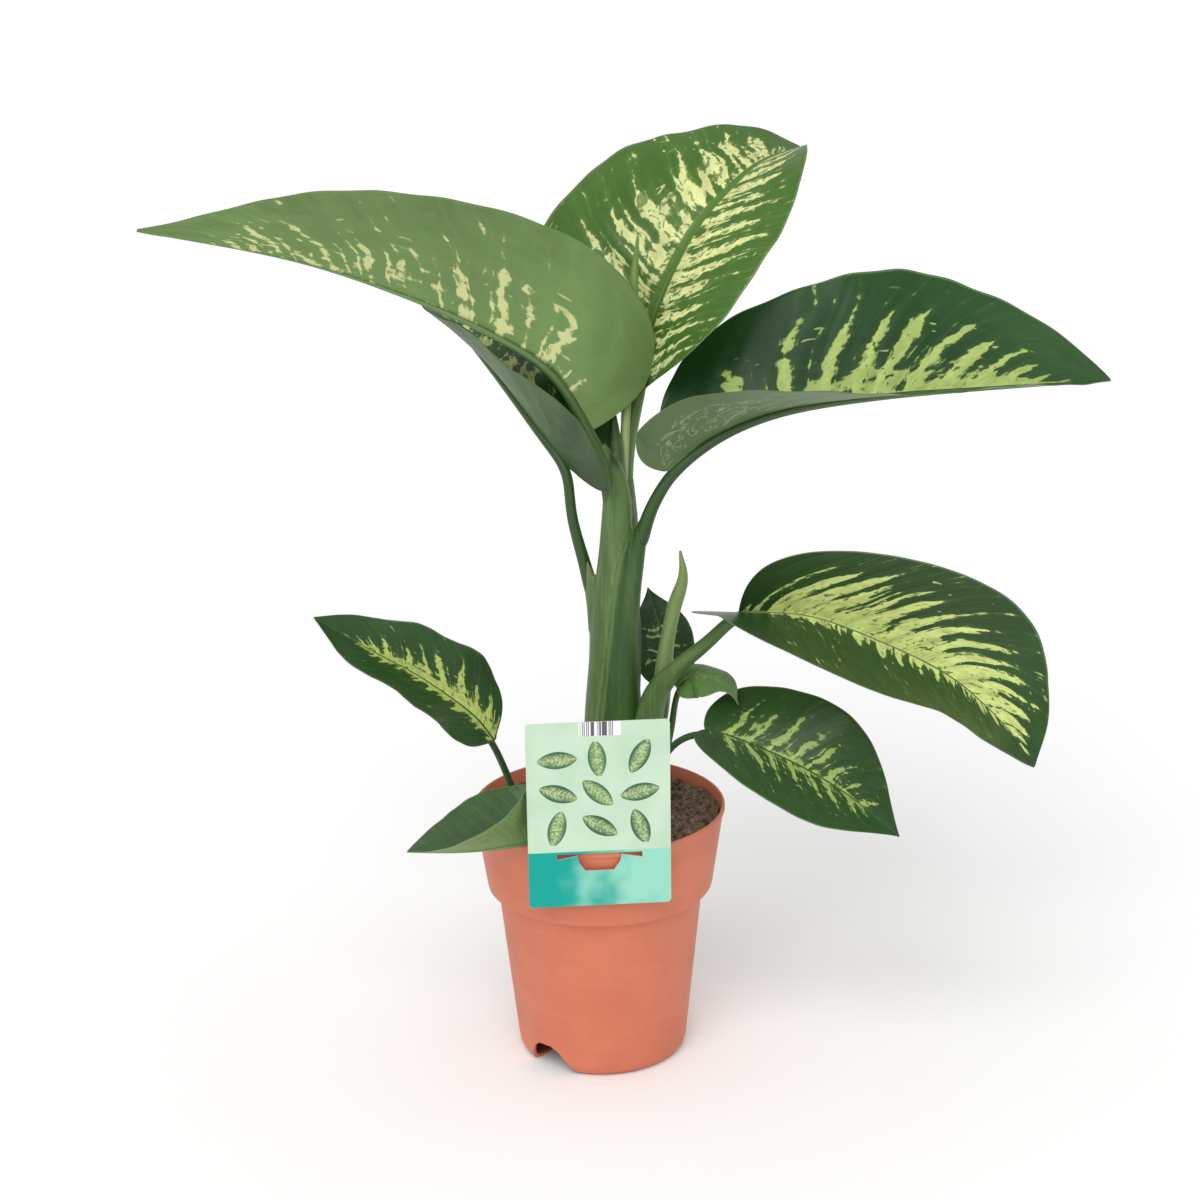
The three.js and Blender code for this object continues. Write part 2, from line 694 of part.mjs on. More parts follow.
plant.add(named('pot', buildPot(), finishes.pot));

const card = named('label_card', buildLabel(), finishes.label);
card.rotation.set(degrees(label.lean), 0, degrees(label.turn), 'ZXY');
const cardFromMiddle = (pot.rimRadius + label.offRim) / Math.cos(degrees(label.turn));
card.position.set(0, -cardFromMiddle, pot.height + label.liftOverRim);
plant.add(card);

card.updateMatrix();
const holes = [...stemsTaken, ...stalkHoles, solidFrom(tabSlot().applyMatrix4(card.matrix))];
const soilBody = holes.reduce((body, hole) => body.subtract(hole), soilPlug());
plant.add(named('soil', largestPiece(soilBody), finishes.soil));

export default plant;
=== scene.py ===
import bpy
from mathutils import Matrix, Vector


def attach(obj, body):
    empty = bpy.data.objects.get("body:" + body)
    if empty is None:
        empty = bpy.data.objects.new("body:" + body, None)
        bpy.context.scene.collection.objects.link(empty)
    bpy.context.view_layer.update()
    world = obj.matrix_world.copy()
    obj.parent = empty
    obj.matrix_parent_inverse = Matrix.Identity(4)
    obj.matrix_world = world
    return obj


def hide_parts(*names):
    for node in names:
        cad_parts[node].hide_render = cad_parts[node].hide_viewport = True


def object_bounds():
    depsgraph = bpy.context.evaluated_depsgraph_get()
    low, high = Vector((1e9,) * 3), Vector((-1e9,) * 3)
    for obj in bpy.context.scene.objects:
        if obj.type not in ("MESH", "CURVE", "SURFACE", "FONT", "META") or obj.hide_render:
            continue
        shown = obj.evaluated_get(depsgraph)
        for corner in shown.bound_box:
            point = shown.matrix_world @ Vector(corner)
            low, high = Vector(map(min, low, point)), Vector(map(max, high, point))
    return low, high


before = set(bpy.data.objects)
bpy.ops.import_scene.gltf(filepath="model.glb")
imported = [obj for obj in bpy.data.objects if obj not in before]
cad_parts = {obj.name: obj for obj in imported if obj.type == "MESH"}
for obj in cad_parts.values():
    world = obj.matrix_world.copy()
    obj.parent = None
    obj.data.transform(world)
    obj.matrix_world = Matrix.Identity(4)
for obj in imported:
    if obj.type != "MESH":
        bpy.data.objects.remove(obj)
cadLow, cadHigh = [list(corner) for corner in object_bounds()]

import math

import bpy
import numpy as np
from mathutils import Matrix, Vector

# A variegated dieffenbachia in a terracotta coloured plastic pot, with a plant card on the rim.
# Shapes are worked out in millimetres, as in the solid model, and become metres in makePiece.
mm = 0.001
print("frame loaded with", len(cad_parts), "nodes")


# shapes on a path
def through(points, share):
    # a smooth line through the points: the cubic between two points whose slope at each
    # is half the step from the point before to the point after
    p = np.asarray(points, float)
    spans = len(p) - 1
    q = np.vstack([2 * p[0] - p[1], p, 2 * p[-1] - p[-2]])
    s = np.clip(np.asarray(share, float), 0, 1) * spans
    i = np.minimum(s.astype(int), spans - 1)
    w = (s - i)[..., None]
    p0, p1, p2, p3 = q[i], q[i + 1], q[i + 2], q[i + 3]
    m1, m2 = (p2 - p0) / 2, (p3 - p1) / 2
    return ((2 * w**3 - 3 * w**2 + 1) * p1 + (w**3 - 2 * w**2 + w) * m1
            + (3 * w**2 - 2 * w**3) * p2 + (w**3 - w**2) * m2)


def blend(values, share):
    # the same smooth line through plain numbers
    return through(np.asarray(values, float)[:, None], share)[..., 0]


def unit(v):
    return v / (np.linalg.norm(v, axis=-1, keepdims=True) + 1e-12)


def followPath(points, distance):
    # place and direction at a distance along the smooth line, straight on before its start
    line = through(points, np.linspace(0, 1, 600))
    run = np.r_[0, np.cumsum(np.linalg.norm(np.diff(line, axis=0), axis=1))]
    distance = np.asarray(distance, float)

    def place(d):
        return np.stack([np.interp(d, run, line[:, k]) for k in range(3)], -1)

    near = np.clip(distance, 0, run[-1])
    step = run[-1] / 250
    direction = unit(place(near + step) - place(near - step))
    start = unit(line[2] - line[0])
    return place(near) + np.where(distance < 0, distance, 0)[..., None] * start, direction


def pathLength(points):
    line = through(points, np.linspace(0, 1, 600))
    return np.linalg.norm(np.diff(line, axis=0), axis=1).sum()


def gridQuads(rows, columns, wrap=False):
    # faces of a grid of points; with wrap the last column joins the first
    across = columns if wrap else columns - 1
    i, j = np.meshgrid(np.arange(rows - 1), np.arange(across), indexing="ij")
    a = i * columns + j
    b = i * columns + (j + 1) % columns
    return np.stack([a, b, b + columns, a + columns], -1).reshape(-1, 4)


def tubePart(places, directions, radius, sides, look=0, front=(0, -1, 0.3), turned=None):
    # rings round a path: place + radius * (front * cos + side * sin), closed by a fan at each end;
    # turned scales the radius by angle and distance where a section isn't round
    facing = unit(front - (np.asarray(front) * directions).sum(-1, keepdims=True) * directions)
    side = np.cross(directions, facing)
    angle = np.linspace(0, 2 * np.pi, sides, endpoint=False)
    reach = radius[:, None] * (np.ones(sides) if turned is None else turned)
    ring = reach[..., None] * (np.cos(angle)[None, :, None] * facing[:, None]
                               + np.sin(angle)[None, :, None] * side[:, None])
    points = (places[:, None] + ring).reshape(-1, 3)
    rows = len(places)
    run = np.r_[0, np.cumsum(np.linalg.norm(np.diff(places, axis=0), axis=1))]
    grain = np.stack([np.tile(np.cos(angle) * radius.max(), rows), np.tile(np.sin(angle) * radius.max(), rows),
                      np.repeat(run, sides)], -1)
    points = np.vstack([points, places[0], places[-1]])
    grain = np.vstack([grain, [0, 0, run[0]], [0, 0, run[-1]]])
    j = np.arange(sides)
    first, last = rows * sides, rows * sides + 1
    top = (rows - 1) * sides
    fans = np.vstack([np.stack([np.full(sides, first), (j + 1) % sides, j], -1),
                      np.stack([np.full(sides, last), top + j, top + (j + 1) % sides], -1)])
    return {"points": points, "quads": gridQuads(rows, sides, True), "fans": fans, "look": look,
            "values": {"grain": grain}}


def outwards(mesh):
    # six times the volume inside a closed mesh, below nought where its faces point inwards
    mesh.calc_loop_triangles()
    corners = np.zeros(len(mesh.loop_triangles) * 3, np.int32)
    mesh.loop_triangles.foreach_get("vertices", corners)
    points = np.zeros(len(mesh.vertices) * 3, np.float32)
    mesh.vertices.foreach_get("co", points)
    a, b, c = points.reshape(-1, 3)[corners.reshape(-1, 3)].transpose(1, 0, 2)
    return float((a * np.cross(b, c)).sum())


def makePiece(name, parts, looks, nodes=(), sharp=None):
    # joins the parts into one mesh, with each part's own material and values
    points, quads, fans, quadLook, fanLook, count = [], [], [], [], [], 0
    for part in parts:
        points.append(part["points"])
        quads.append(part.get("quads", np.zeros((0, 4), int)) + count)
        fans.append(part.get("fans", np.zeros((0, 3), int)) + count)
        quadLook.append(np.full(len(quads[-1]), part.get("look", 0)))
        fanLook.append(np.full(len(fans[-1]), part.get("look", 0)))
        count += len(part["points"])
    quads, fans = np.vstack(quads), np.vstack(fans)
    corners = np.r_[quads.ravel(), fans.ravel()].astype(np.int32)
    starts = np.r_[np.arange(len(quads)) * 4, len(quads) * 4 + np.arange(len(fans)) * 3].astype(np.int32)
    mesh = bpy.data.meshes.new(name)
    mesh.vertices.add(count)
    inside = np.clip(np.vstack(points) * mm, cadLow, cadHigh)
    mesh.vertices.foreach_set("co", inside.astype(np.float32).ravel())
    mesh.loops.add(len(corners))
    mesh.loops.foreach_set("vertex_index", corners)
    mesh.polygons.add(len(starts))
    mesh.polygons.foreach_set("loop_start", starts)
    mesh.polygons.foreach_set("material_index", np.r_[np.concatenate(quadLook), np.concatenate(fanLook)].astype(np.int32))
    mesh.update(calc_edges=True)
    for key in sorted({key for part in parts for key in part.get("values", {})}):
        width = max(np.asarray(part["values"][key]).ndim for part in parts if key in part.get("values", {}))
        blank = (lambda n: np.zeros((n, 3))) if width == 2 else np.zeros
        stack = [np.asarray(part.get("values", {}).get(key, blank(len(part["points"]))), float) for part in parts]
        kind, slotKey = ("FLOAT_VECTOR", "vector") if width == 2 else ("FLOAT", "value")
        values = np.concatenate(stack).astype(np.float32)
        mesh.attributes.new(key, kind, "POINT").data.foreach_set(slotKey, values.ravel())
    mesh.shade_smooth()
    if sharp:
        mesh.set_sharp_from_angle(angle=math.radians(sharp))
    piece = bpy.data.objects.new(name, mesh)
    bpy.context.scene.collection.objects.link(piece)
    for look in looks:
        mesh.materials.append(look)
    if len(parts) == 1 and outwards(mesh) < 0:
        print("turned inside out:", name)
    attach(piece, "root")
    if nodes:
        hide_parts(*nodes)
    print("made", name, "with", len(quads) * 2 + len(fans), "triangles")
    return piece


class Wire:
    # a socket in a material; expressions on it add Math nodes
    def __init__(self, tree, socket=None):
        self.tree, self.socket = tree, socket

    def node(self, kind, settings=(), values=(), out=0):
        made = self.tree.nodes.new(kind)
        for key, value in dict(settings).items():
            if key == "stops":
                while len(made.color_ramp.elements) < len(value):
                    made.color_ramp.elements.new(1)
                for element, (position, colour) in zip(made.color_ramp.elements, value):
                    element.position, element.color = position, colour
            else:
                setattr(made, key, value)
        for key, value in dict(values).items():
            if isinstance(value, Wire):
                self.tree.links.new(value.socket, made.inputs[key])
            else:
                made.inputs[key].default_value = value
        return Wire(self.tree, made.outputs[out])

    def maths(self, operation, *values):
        return self.node("ShaderNodeMath", {"operation": operation}, dict(enumerate(values)))

    def __add__(self, other): return self.maths("ADD", self, other)
    def __radd__(self, other): return self.maths("ADD", other, self)
    def __sub__(self, other): return self.maths("SUBTRACT", self, other)
    def __rsub__(self, other): return self.maths("SUBTRACT", other, self)
    def __mul__(self, other): return self.maths("MULTIPLY", self, other)
    def __rmul__(self, other): return self.maths("MULTIPLY", other, self)
    def __truediv__(self, other): return self.maths("DIVIDE", self, other)
    def __pow__(self, other): return self.maths("POWER", self, other)
    def __abs__(self): return self.maths("ABSOLUTE", self)

    def least(self, other): return self.maths("MINIMUM", self, other)
    def most(self, other): return self.maths("MAXIMUM", self, other)
    def whole(self): return self.maths("FLOOR", self)
    def part(self): return self.maths("FRACT", self)
    def above(self, other): return self.maths("GREATER_THAN", self, other)

    def rise(self, low, high, start=0, end=1):
        # smooth step from start to end as the value goes from low to high
        return self.node("ShaderNodeMapRange", {"interpolation_type": "SMOOTHSTEP"},
                         {"Value": self, "From Min": low, "From Max": high, "To Min": start, "To Max": end})

    def noise(self, scale=1, detail=2, rough=0.5, twist=0):
        return self.node("ShaderNodeTexNoise", (), {"Vector": self, "Scale": scale, "Detail": detail,
                                                    "Roughness": rough, "Distortion": twist})

    def pick(self, first, second):
        # a colour between two, by this value
        return self.node("ShaderNodeMix", {"data_type": "RGBA"}, {0: self, 6: first, 7: second}, 2)

    def vector(self, x, y, z):
        return self.node("ShaderNodeCombineXYZ", (), {0: x, 1: y, 2: z})

    def split(self):
        return [self.node("ShaderNodeSeparateXYZ", (), {0: self}, k) for k in range(3)]

    def value(self, name, out=2):
        return self.node("ShaderNodeAttribute", {"attribute_name": name}, (), out)


def tone(red, green, blue):
    # a screen colour as the linear light that the shader wants
    levels = np.array([red, green, blue]) / 255
    linear = np.where(levels <= 0.04045, levels / 12.92, ((levels + 0.055) / 1.055) ** 2.4)
    return (*linear.tolist(), 1.0)


def newMaterial(name, plain):
    material = bpy.data.materials.new(name)
    material.use_nodes = True
    tree = material.node_tree
    shader = tree.nodes["Principled BSDF"]
    for key, value in plain.items():
        shader.inputs[key].default_value = value
    return material, Wire(tree), shader


def bump(start, height, strength, distance):
    return start.node("ShaderNodeBump", (), {"Height": height, "Strength": strength, "Distance": distance})


def connect(start, shader, **links):
    names = {"colour": "Base Color", "roughness": "Roughness", "normal": "Normal"}
    for key, wire in links.items():
        start.tree.links.new(wire.socket, shader.inputs[names[key]])


# stalk and midrib are places along the middle of the stalk and blade. face is the way the upper
# side looks at the base, middle and tip. half, fold and curl are for the left and the right half
# seen from the stalk. widest, lobes, full, tip and taper shape the outline.
leafShapes = {
    "leaf_left_long": {
        "stalk": [[9, -5, 248], [9, -7.5, 272], [5.4, -9, 293]],
        "midrib": [[-2, -10, 309], [-15, -4, 335], [-41, 2, 351], [-72, 8, 365], [-131, 18, 384], [-210, 34, 397]],
        "stalkRadii": [4.6, 4.4, 3.8, 2.9],
        "face": [[0.15, 0.85, 0.35], [0.1, 0.85, 0.55], [0, 0.85, 0.45]],
        "half": [57, 50], "fold": [[40, 19, 29], [60, 60, 50]], "curl": [[24, -25, 8], [0, 0, 0]], "ribTaper": 2.2,
        "outline": (0.29, (0, 0), 0.51, 0.44, 0.5), "waves": (2.5, 1.5, 0.1, 0.3),
    },
    "leaf_top": {
        "stalk": [[14, 10, 256], [15.5, 13.5, 290]],
        "midrib": [[21, 19, 317.5], [29.5, 22, 356.5], [47, 28, 392], [69, 45, 413], [85, 66, 420], [103, 96, 420]],
        "stalkRadii": [4.6, 3.8, 3.3, 3],
        "face": [[-0.4, -0.85, 0.3], [-0.45, -0.8, 0.3], [-0.2, -0.55, 0.8]],
        "half": [68, 50], "fold": [[38, 8, 42], [48, 27, 30]], "curl": [[6, -26, -11], [4, -20, 0]],
        "outline": (0.34, (-0.04, -0.06), 0.45, 0.34, 0.31), "waves": (2.5, 1.5, 0, 0.3),
    },
    "leaf_right_long": {
        "stalk": [[20, -7, 252], [26.2, -10.5, 273]],
        "midrib": [[36, -10, 290], [53, -8, 305], [85, -2, 316], [132, 10, 319], [184, 22, 319], [243, 36, 318]],
        "stalkRadii": [3.8, 3.3, 2.9, 2.7],
        "face": [[-0.6, -0.1, 0.75], [0.15, -0.25, 0.92], [0.1, -0.3, 0.95]],
        "half": [59, 57], "fold": [[44, 43, 43], [72, 36, 31, 31, 31]], "curl": [[0, 0, -14], [-20, 0, 0]],
        "outline": (0.56, (-0.03, 0.05), 0.43, 0.27, 0.12), "waves": (2.5, 1.2, 0, 0.5),
    },
    "leaf_left_behind": {
        "stalk": [[1, 3.5, 220], [-5.5, 2.5, 247], [-10.5, 2, 268]],
        "midrib": [[-11, 4, 289], [-24, 16, 304], [-43, 44, 323], [-66, 88, 341], [-92, 140, 359]],
        "stalkRadii": [4.2, 3, 2.5, 2.4],
        "face": [[0.45, -0.15, 0.87], [0.5, -0.32, 0.8], [0.3, -0.2, 0.9]],
        "half": [46, 50], "fold": [[55, 24, 14], [34, 33, 20]], "curl": [[0, 0, 0], [0, 0, 0]],
        "outline": (0.45, (0.17, 0.04), 0.5, 0.24, 0.35), "waves": (4, 2, 0, 0.3),
    },
    "leaf_shoot_right": {
        "stalk": [[27.5, -15, 182], [36, -17.8, 198], [50, -20.8, 210.5]],
        "midrib": [[65, -24, 227], [96, -34, 228], [127, -44, 219], [158, -54, 205], [182, -62, 184], [195, -68, 166]],
        "stalkRadii": [4.4, 3.8, 3.1, 2.7],
        "face": [[-0.1, -0.85, 0.5], [0.25, -0.87, 0.18], [0.35, -0.65, 0.6]],
        "half": [44, 48], "fold": [[55, 22, 12], [77, 54, 44, 36, 30]], "curl": [[0, 0, 0], [-6, 34, 26]],
        "outline": (0.62, (-0.02, 0.14), 0.54, 0.25, 0.13), "waves": (3, 1.2, 0, 0.3),
    },
    "leaf_right_low": {
        "stalk": [[24, -13, 126], [28, -21, 153], [37, -27, 169.5]],
        "midrib": [[49, -30, 173], [65, -34, 169], [92, -40, 158], [115, -44, 144], [138, -48, 125]],
        "stalkRadii": [2.6, 1.9, 1.6, 1.6],
        "face": [[0.2, -0.6, 0.75], [0.2, -0.8, 0.55], [0.35, -0.75, 0.45]],
        "half": [33, 29], "fold": [[0, 16, 8], [28, 22, 5]], "curl": [[-10, -5, 0], [0, 0, 0]],
        "outline": (0.41, (0.03, 0.04), 0.48, 0.2, 0.2), "waves": (2, 1.2, 0.1, 0.3),
    },
    "leaf_left_small": {
        "stalk": [[-31, -10, 102], [-36, -12.5, 126], [-42, -16, 143.5]],
        "midrib": [[-47.5, -23.5, 166], [-58, -26, 181], [-81, -30, 201], [-100, -34, 214], [-127, -38, 233]],
        "stalkRadii": [2.2, 1.8, 1.7, 1.6],
        "face": [[0.1, -0.55, 0.8], [-0.25, -0.62, 0.75], [-0.15, -0.62, 0.77]],
        "half": [24, 24], "fold": [[17, 32, 9], [2, 38, 12]], "curl": [[-8, 9, 2], [-20, 5, 0]],
        "outline": (0.36, (-0.04, -0.04), 0.5, 0.24, 0.12), "waves": (3.4, 1.9, 0, 0.2),
    },
    "leaf_left_rim": {
        "stalk": [[0, -22, 98], [-1, -26, 120], [-4, -34, 134]],
        "midrib": [[-12, -42, 133.5], [-27, -50.5, 128.5], [-45, -58.5, 128.2], [-65, -65.5, 129.2], [-87, -69.5, 131.2]],
        "stalkRadii": [2.4, 2, 1.8, 1.6],
        "face": [[-0.1, -0.15, 0.95], [-0.2, -0.27, 0.9], [-0.1, -0.27, 0.9]],
        "half": [29, 30], "fold": [[112, 99, 64, 48, 38], [46, 26, 26]], "curl": [[0, 0, 0], [0, 0, 0]],
        "outline": (0.35, (-0.18, 0.05), 0.55, 0.25, 0.14), "waves": (2, 0.6, 0, 0.3),
    },
    "leaf_curled": {
        "stalk": [[31, -8, 150], [35, -9, 166], [36, -9, 178]],
        "midrib": [[37, -10, 186], [45, -13, 193], [53, -18, 194], [61, -24, 191], [65, -30, 184]],
        "stalkRadii": [1.8, 1.6, 1.5, 1.4],
        "face": [[0, -0.6, 0.8], [0.2, -0.5, 0.8], [0.8, -0.3, 0.5]],
        "half": [9, 12], "fold": [[10, 5, 5], [10, 5, 5]], "curl": [[-40, -40, 0], [-60, -60, 0]],
        "outline": (0.45, (0.02, 0.02), 0.5, 0.2, 0.35), "waves": (2, 0.4, 0, 0.3),
    },
    "leaf_behind_cane": {
        "stalk": [[15, 4, 122], [25, 6, 141], [31.5, 11, 157]],
        "midrib": [[34, 18, 178], [33, 22, 191], [30, 28, 205], [25, 36, 221]],
        "stalkRadii": [2.4, 2, 1.8, 1.6],
        "face": [[0.1, -0.9, 0.3], [0.1, -0.9, 0.3], [0.1, -0.9, 0.3]],
        "half": [16, 15], "fold": [[10, 10, 5], [15, 20, 5]], "curl": [[0, 0, 0], [0, 0, 0]],
        "outline": (0.42, (0.02, 0.02), 0.5, 0.22, 0.3), "waves": (2, 0.8, 0, 0.3),
    },
}

# Looks of each blade. left and right give the fingers of cream on each half: lanes, how many fit
# along the blade; reach, how far out they run; width, half of a finger in lanes; swell, how they
# widen outwards; merge, how they run together at the midrib; lean, how they slant; vary, how
# unequal they are. A pair is for the base and the tip. ends is where along the blade the fingers
# begin and end, and rib the half-width of the bare midrib in mm.
leafLooks = {
    "leaf_left_long": {
        "green": (62, 92, 42), "edge": (56, 86, 38), "cream": (200, 202, 124), "under": (100, 127, 73),
        "underCream": (202, 204, 142), "ends": (0.1, 0.95), "rib": 2.0, "seed": 3.1, "veins": 20,
        "left": {"lanes": 12, "reach": (0.8, 1), "width": (0.075, 0.15), "swell": -0.2, "merge": (0.02, 0.16),
                 "lean": (-1, 1.8), "vary": 0.3, "ragged": 0.68, "fine": 0.1, "gap": 0},
        "right": {"lanes": 9.5, "reach": (0.85, 1.1), "width": (0.07, 0.15), "swell": -0.3, "merge": (0, 0.16),
                  "lean": (-1, 2.2), "vary": 0.32, "ragged": 0.78, "fine": 0.08, "gap": 0},
    },
    "leaf_top": {
        "green": (66, 103, 36), "edge": (70, 108, 40), "cream": (214, 220, 148), "creamBase": (242, 244, 216), "under": (98, 128, 74),
        "underCream": (166, 182, 112), "ends": (-0.02, 1), "rib": 6.4, "crack": 0.57, "seed": 8.4, "veins": 19,
        "left": {"lanes": 12, "reach": (1, 0.95), "width": (0.18, 0.2), "swell": 0.3, "merge": (0.18, 0.1),
                 "lean": (0, 0.6), "vary": 0.3, "ragged": 0.7, "fine": 0.26, "gap": 0.12},
        "right": {"lanes": 19, "reach": (1, 1), "width": (0.3, 0.28), "swell": 0, "merge": (0.12, 0.1),
                  "lean": (0.3, 0.7), "vary": 0.25, "ragged": 0.85, "fine": 0.14, "gap": 0.12},
    },
    "leaf_right_long": {
        "green": (22, 60, 24), "edge": (34, 76, 30), "tip": (58, 92, 48), "cream": (176, 196, 110),
        "under": (92, 114, 73), "underCream": (134, 152, 108), "ends": (0.1, 0.93), "rib": 1.2, "seed": 1.7, "scar": ((0.12, 0.13), (0.38, 0.3)),
        "veins": 17,
        "left": {"lanes": 15.5, "reach": (1.02, 0.66), "width": (0.19, 0.29), "swell": 0.3, "merge": (0.02, 0.42),
                 "lean": (-1.8, 3), "vary": 0.18, "ragged": 0.5, "fine": 0.03, "gap": 0.12},
        "right": {"lanes": 16, "reach": (0.8, 0.5), "width": (0.07, 0.08), "swell": 0.3, "merge": (0, 0),
                  "lean": (2, 1), "vary": 0.5, "ragged": 0.6, "fine": 0.02, "gap": 0},
    },
    "leaf_left_behind": {
        "green": (52, 96, 40), "edge": (58, 104, 44), "cream": (224, 236, 150), "under": (78, 106, 58),
        "underBaseShade": (46, 72, 34), "underCream": (94, 116, 78), "ends": (0.08, 0.85), "rib": 1.3, "seed": 5.2, "veins": 16,
        "left": {"lanes": 12, "reach": (0.6, 0.5), "width": (0.1, 0.1), "swell": 0, "merge": (0.1, 0.1),
                 "lean": (0, 0), "vary": 0.7, "ragged": 0.5, "fine": 0.1, "gap": 0},
        "right": {"lanes": 9, "reach": (0.8, 0.6), "width": (0.16, 0.18), "swell": 0, "merge": (0.04, 0.1),
                  "lean": (0.5, 1), "vary": 0.85, "ragged": 0.8, "fine": 0.1, "gap": 0},
    },
    "leaf_shoot_right": {
        "green": (46, 76, 36), "edge": (48, 74, 38), "cream": (198, 212, 126), "creamBase": (222, 232, 156), "under": (88, 112, 72),
        "underCream": (130, 148, 100), "ends": (0.1, 1), "rib": 0.45, "crack": 0.62, "seed": 2.6, "veins": 18,
        "left": {"lanes": 18, "reach": (0.92, 0.92), "width": (0.42, 0.4), "swell": -0.3, "merge": (0.36, 0.3),
                 "lean": (1.2, 1.5), "vary": 0.25, "ragged": 0.85, "fine": 0.3, "gap": 0.34},
        "right": {"lanes": 18, "reach": (0.28, 0.32), "width": (0.24, 0.2), "swell": -0.2, "merge": (0.2, 0.14),
                  "lean": (0.6, 1), "vary": 0.6, "ragged": 0.7, "fine": 0.2, "gap": 0.1},
    },
    "leaf_right_low": {
        "green": (44, 76, 34), "edge": (50, 80, 36), "cream": (160, 184, 100), "under": (88, 112, 72),
        "underCream": (134, 150, 100), "ends": (0.06, 0.95), "rib": 0.45, "seed": 6.3, "veins": 13,
        "left": {"lanes": 11, "reach": (0.86, 0.74), "width": (0.19, 0.17), "swell": 0.1, "merge": (0.16, 0.16),
                 "lean": (-0.2, 1.2), "vary": 0.25, "ragged": 0.46, "fine": 0.1, "gap": 0.14},
        "right": {"lanes": 11, "reach": (0.66, 0.8), "width": (0.16, 0.15), "swell": -0.4, "merge": (0.14, 0.14),
                  "lean": (0.8, 1.8), "vary": 0.3, "ragged": 0.5, "fine": 0.1, "gap": 0.05},
    },
    "leaf_left_small": {
        "green": (42, 74, 34), "edge": (46, 78, 38), "cream": (180, 196, 104), "under": (92, 114, 76),
        "underCream": (116, 138, 92), "ends": (-0.05, 0.9), "rib": 0.45, "seed": 4.5, "veins": 15,
        "left": {"lanes": 14, "reach": (0.42, 0.34), "width": (0.22, 0.2), "swell": -0.3, "merge": (0.35, 0.25),
                 "lean": (1, 1.5), "vary": 0.4, "ragged": 0.5, "fine": 0.2, "gap": 0.05},
        "right": {"lanes": 12.5, "reach": (0.9, 0.62), "width": (0.26, 0.2), "swell": -0.1, "merge": (0.34, 0.2),
                  "lean": (0.2, 1.5), "vary": 0.35, "ragged": 0.5, "fine": 0.12, "gap": 0.1},
    },
    "leaf_left_rim": {
        "green": (68, 96, 60), "edge": (72, 100, 58), "cream": (104, 138, 66), "under": (110, 140, 84),
        "underCream": (116, 144, 90), "ends": (0.45, 0.85), "rib": 0.6, "seed": 7.9, "veins": 12,
        "left": {"lanes": 10, "reach": (0.5, 0.5), "width": (0.1, 0.15), "swell": 0, "merge": (0, 0.1),
                 "lean": (0.5, 1), "vary": 0.6, "ragged": 0.4, "fine": 0.05, "gap": 0},
        "right": {"lanes": 10, "reach": (0.5, 0.5), "width": (0.1, 0.2), "swell": 0, "merge": (0, 0.1),
                  "lean": (0.5, 1), "vary": 0.6, "ragged": 0.4, "fine": 0.05, "gap": 0},
    },
    "leaf_curled": {
        "green": (98, 132, 74), "edge": (92, 126, 66), "cream": (128, 156, 86), "under": (100, 134, 66),
        "underCream": (116, 146, 80), "ends": (0.1, 0.8), "rib": 0.5, "seed": 9.3, "veins": 8,
        "left": {"lanes": 8, "reach": (0.5, 0.4), "width": (0.14, 0.14), "swell": 0, "merge": (0.2, 0.2),
                 "lean": (0.5, 1), "vary": 0.5, "ragged": 0.4, "fine": 0.05, "gap": 0},
        "right": {"lanes": 8, "reach": (0.5, 0.4), "width": (0.14, 0.14), "swell": 0, "merge": (0.2, 0.2),
                  "lean": (0.5, 1), "vary": 0.5, "ragged": 0.4, "fine": 0.05, "gap": 0},
    },
    "leaf_behind_cane": {
        "green": (38, 64, 34), "edge": (42, 70, 36), "cream": (150, 172, 108), "under": (88, 112, 72),
        "underCream": (124, 144, 98), "ends": (0.02, 0.8), "rib": 0.5, "seed": 0.8, "veins": 9,
        "left": {"lanes": 9, "reach": (0.9, 0.7), "width": (0.15, 0.12), "swell": 0.1, "merge": (0.05, 0.1),
                 "lean": (-1.5, 0), "vary": 0.3, "ragged": 0.5, "fine": 0.05, "gap": 0},
        "right": {"lanes": 9, "reach": (0.9, 0.7), "width": (0.15, 0.12), "swell": 0.1, "merge": (0.05, 0.1),
                  "lean": (-1.5, 0), "vary": 0.3, "ragged": 0.5, "fine": 0.05, "gap": 0},
    },
}

bladeBuild = {
    "rows": 150, "columns": 34, "smallRows": 90, "smallColumns": 22, "firstRow": 0.02, "lastRow": 0.992,
    "sweep": 0.16, "spineShare": 0.12, "bow": 1.35, "turn": 0.45,
    "thick": 0.55, "thin": 0.3, "groove": 0.35, "pleat": 0.22, "ripple": 0.35, "stalkSides": 22, "stalkRings": 90,
    "softened": 40, "evenly": 0.85,
}


def bladeOutline(outline, lobe, t):
    # how far along and across the margin lies at row t: two joined cubic curves, from the stalk
    # out to the widest place and from there to the tip
    widest, _, full, tipWidth, taper = outline

    def curve(a, b, c, d, s):
        r = 1 - s
        return r**3 * a + 3 * r * r * s * b + 3 * r * s * s * c + s**3 * d

    turn, rest = bladeBuild["turn"], 1 - widest
    first, second = np.clip(t / turn, 0, 1), np.clip((t - turn) / (1 - turn), 0, 1)
    along = np.where(t < turn, curve(0, -1.9 * lobe, 0.15 * widest - 0.8 * lobe, widest, first),
                     curve(widest, widest + full * rest, 1 - taper * rest, 1, second))
    across = np.where(t < turn, curve(0, 0.45, 1, 1, first), curve(1, 1, tipWidth, 0, second))
    return along, across


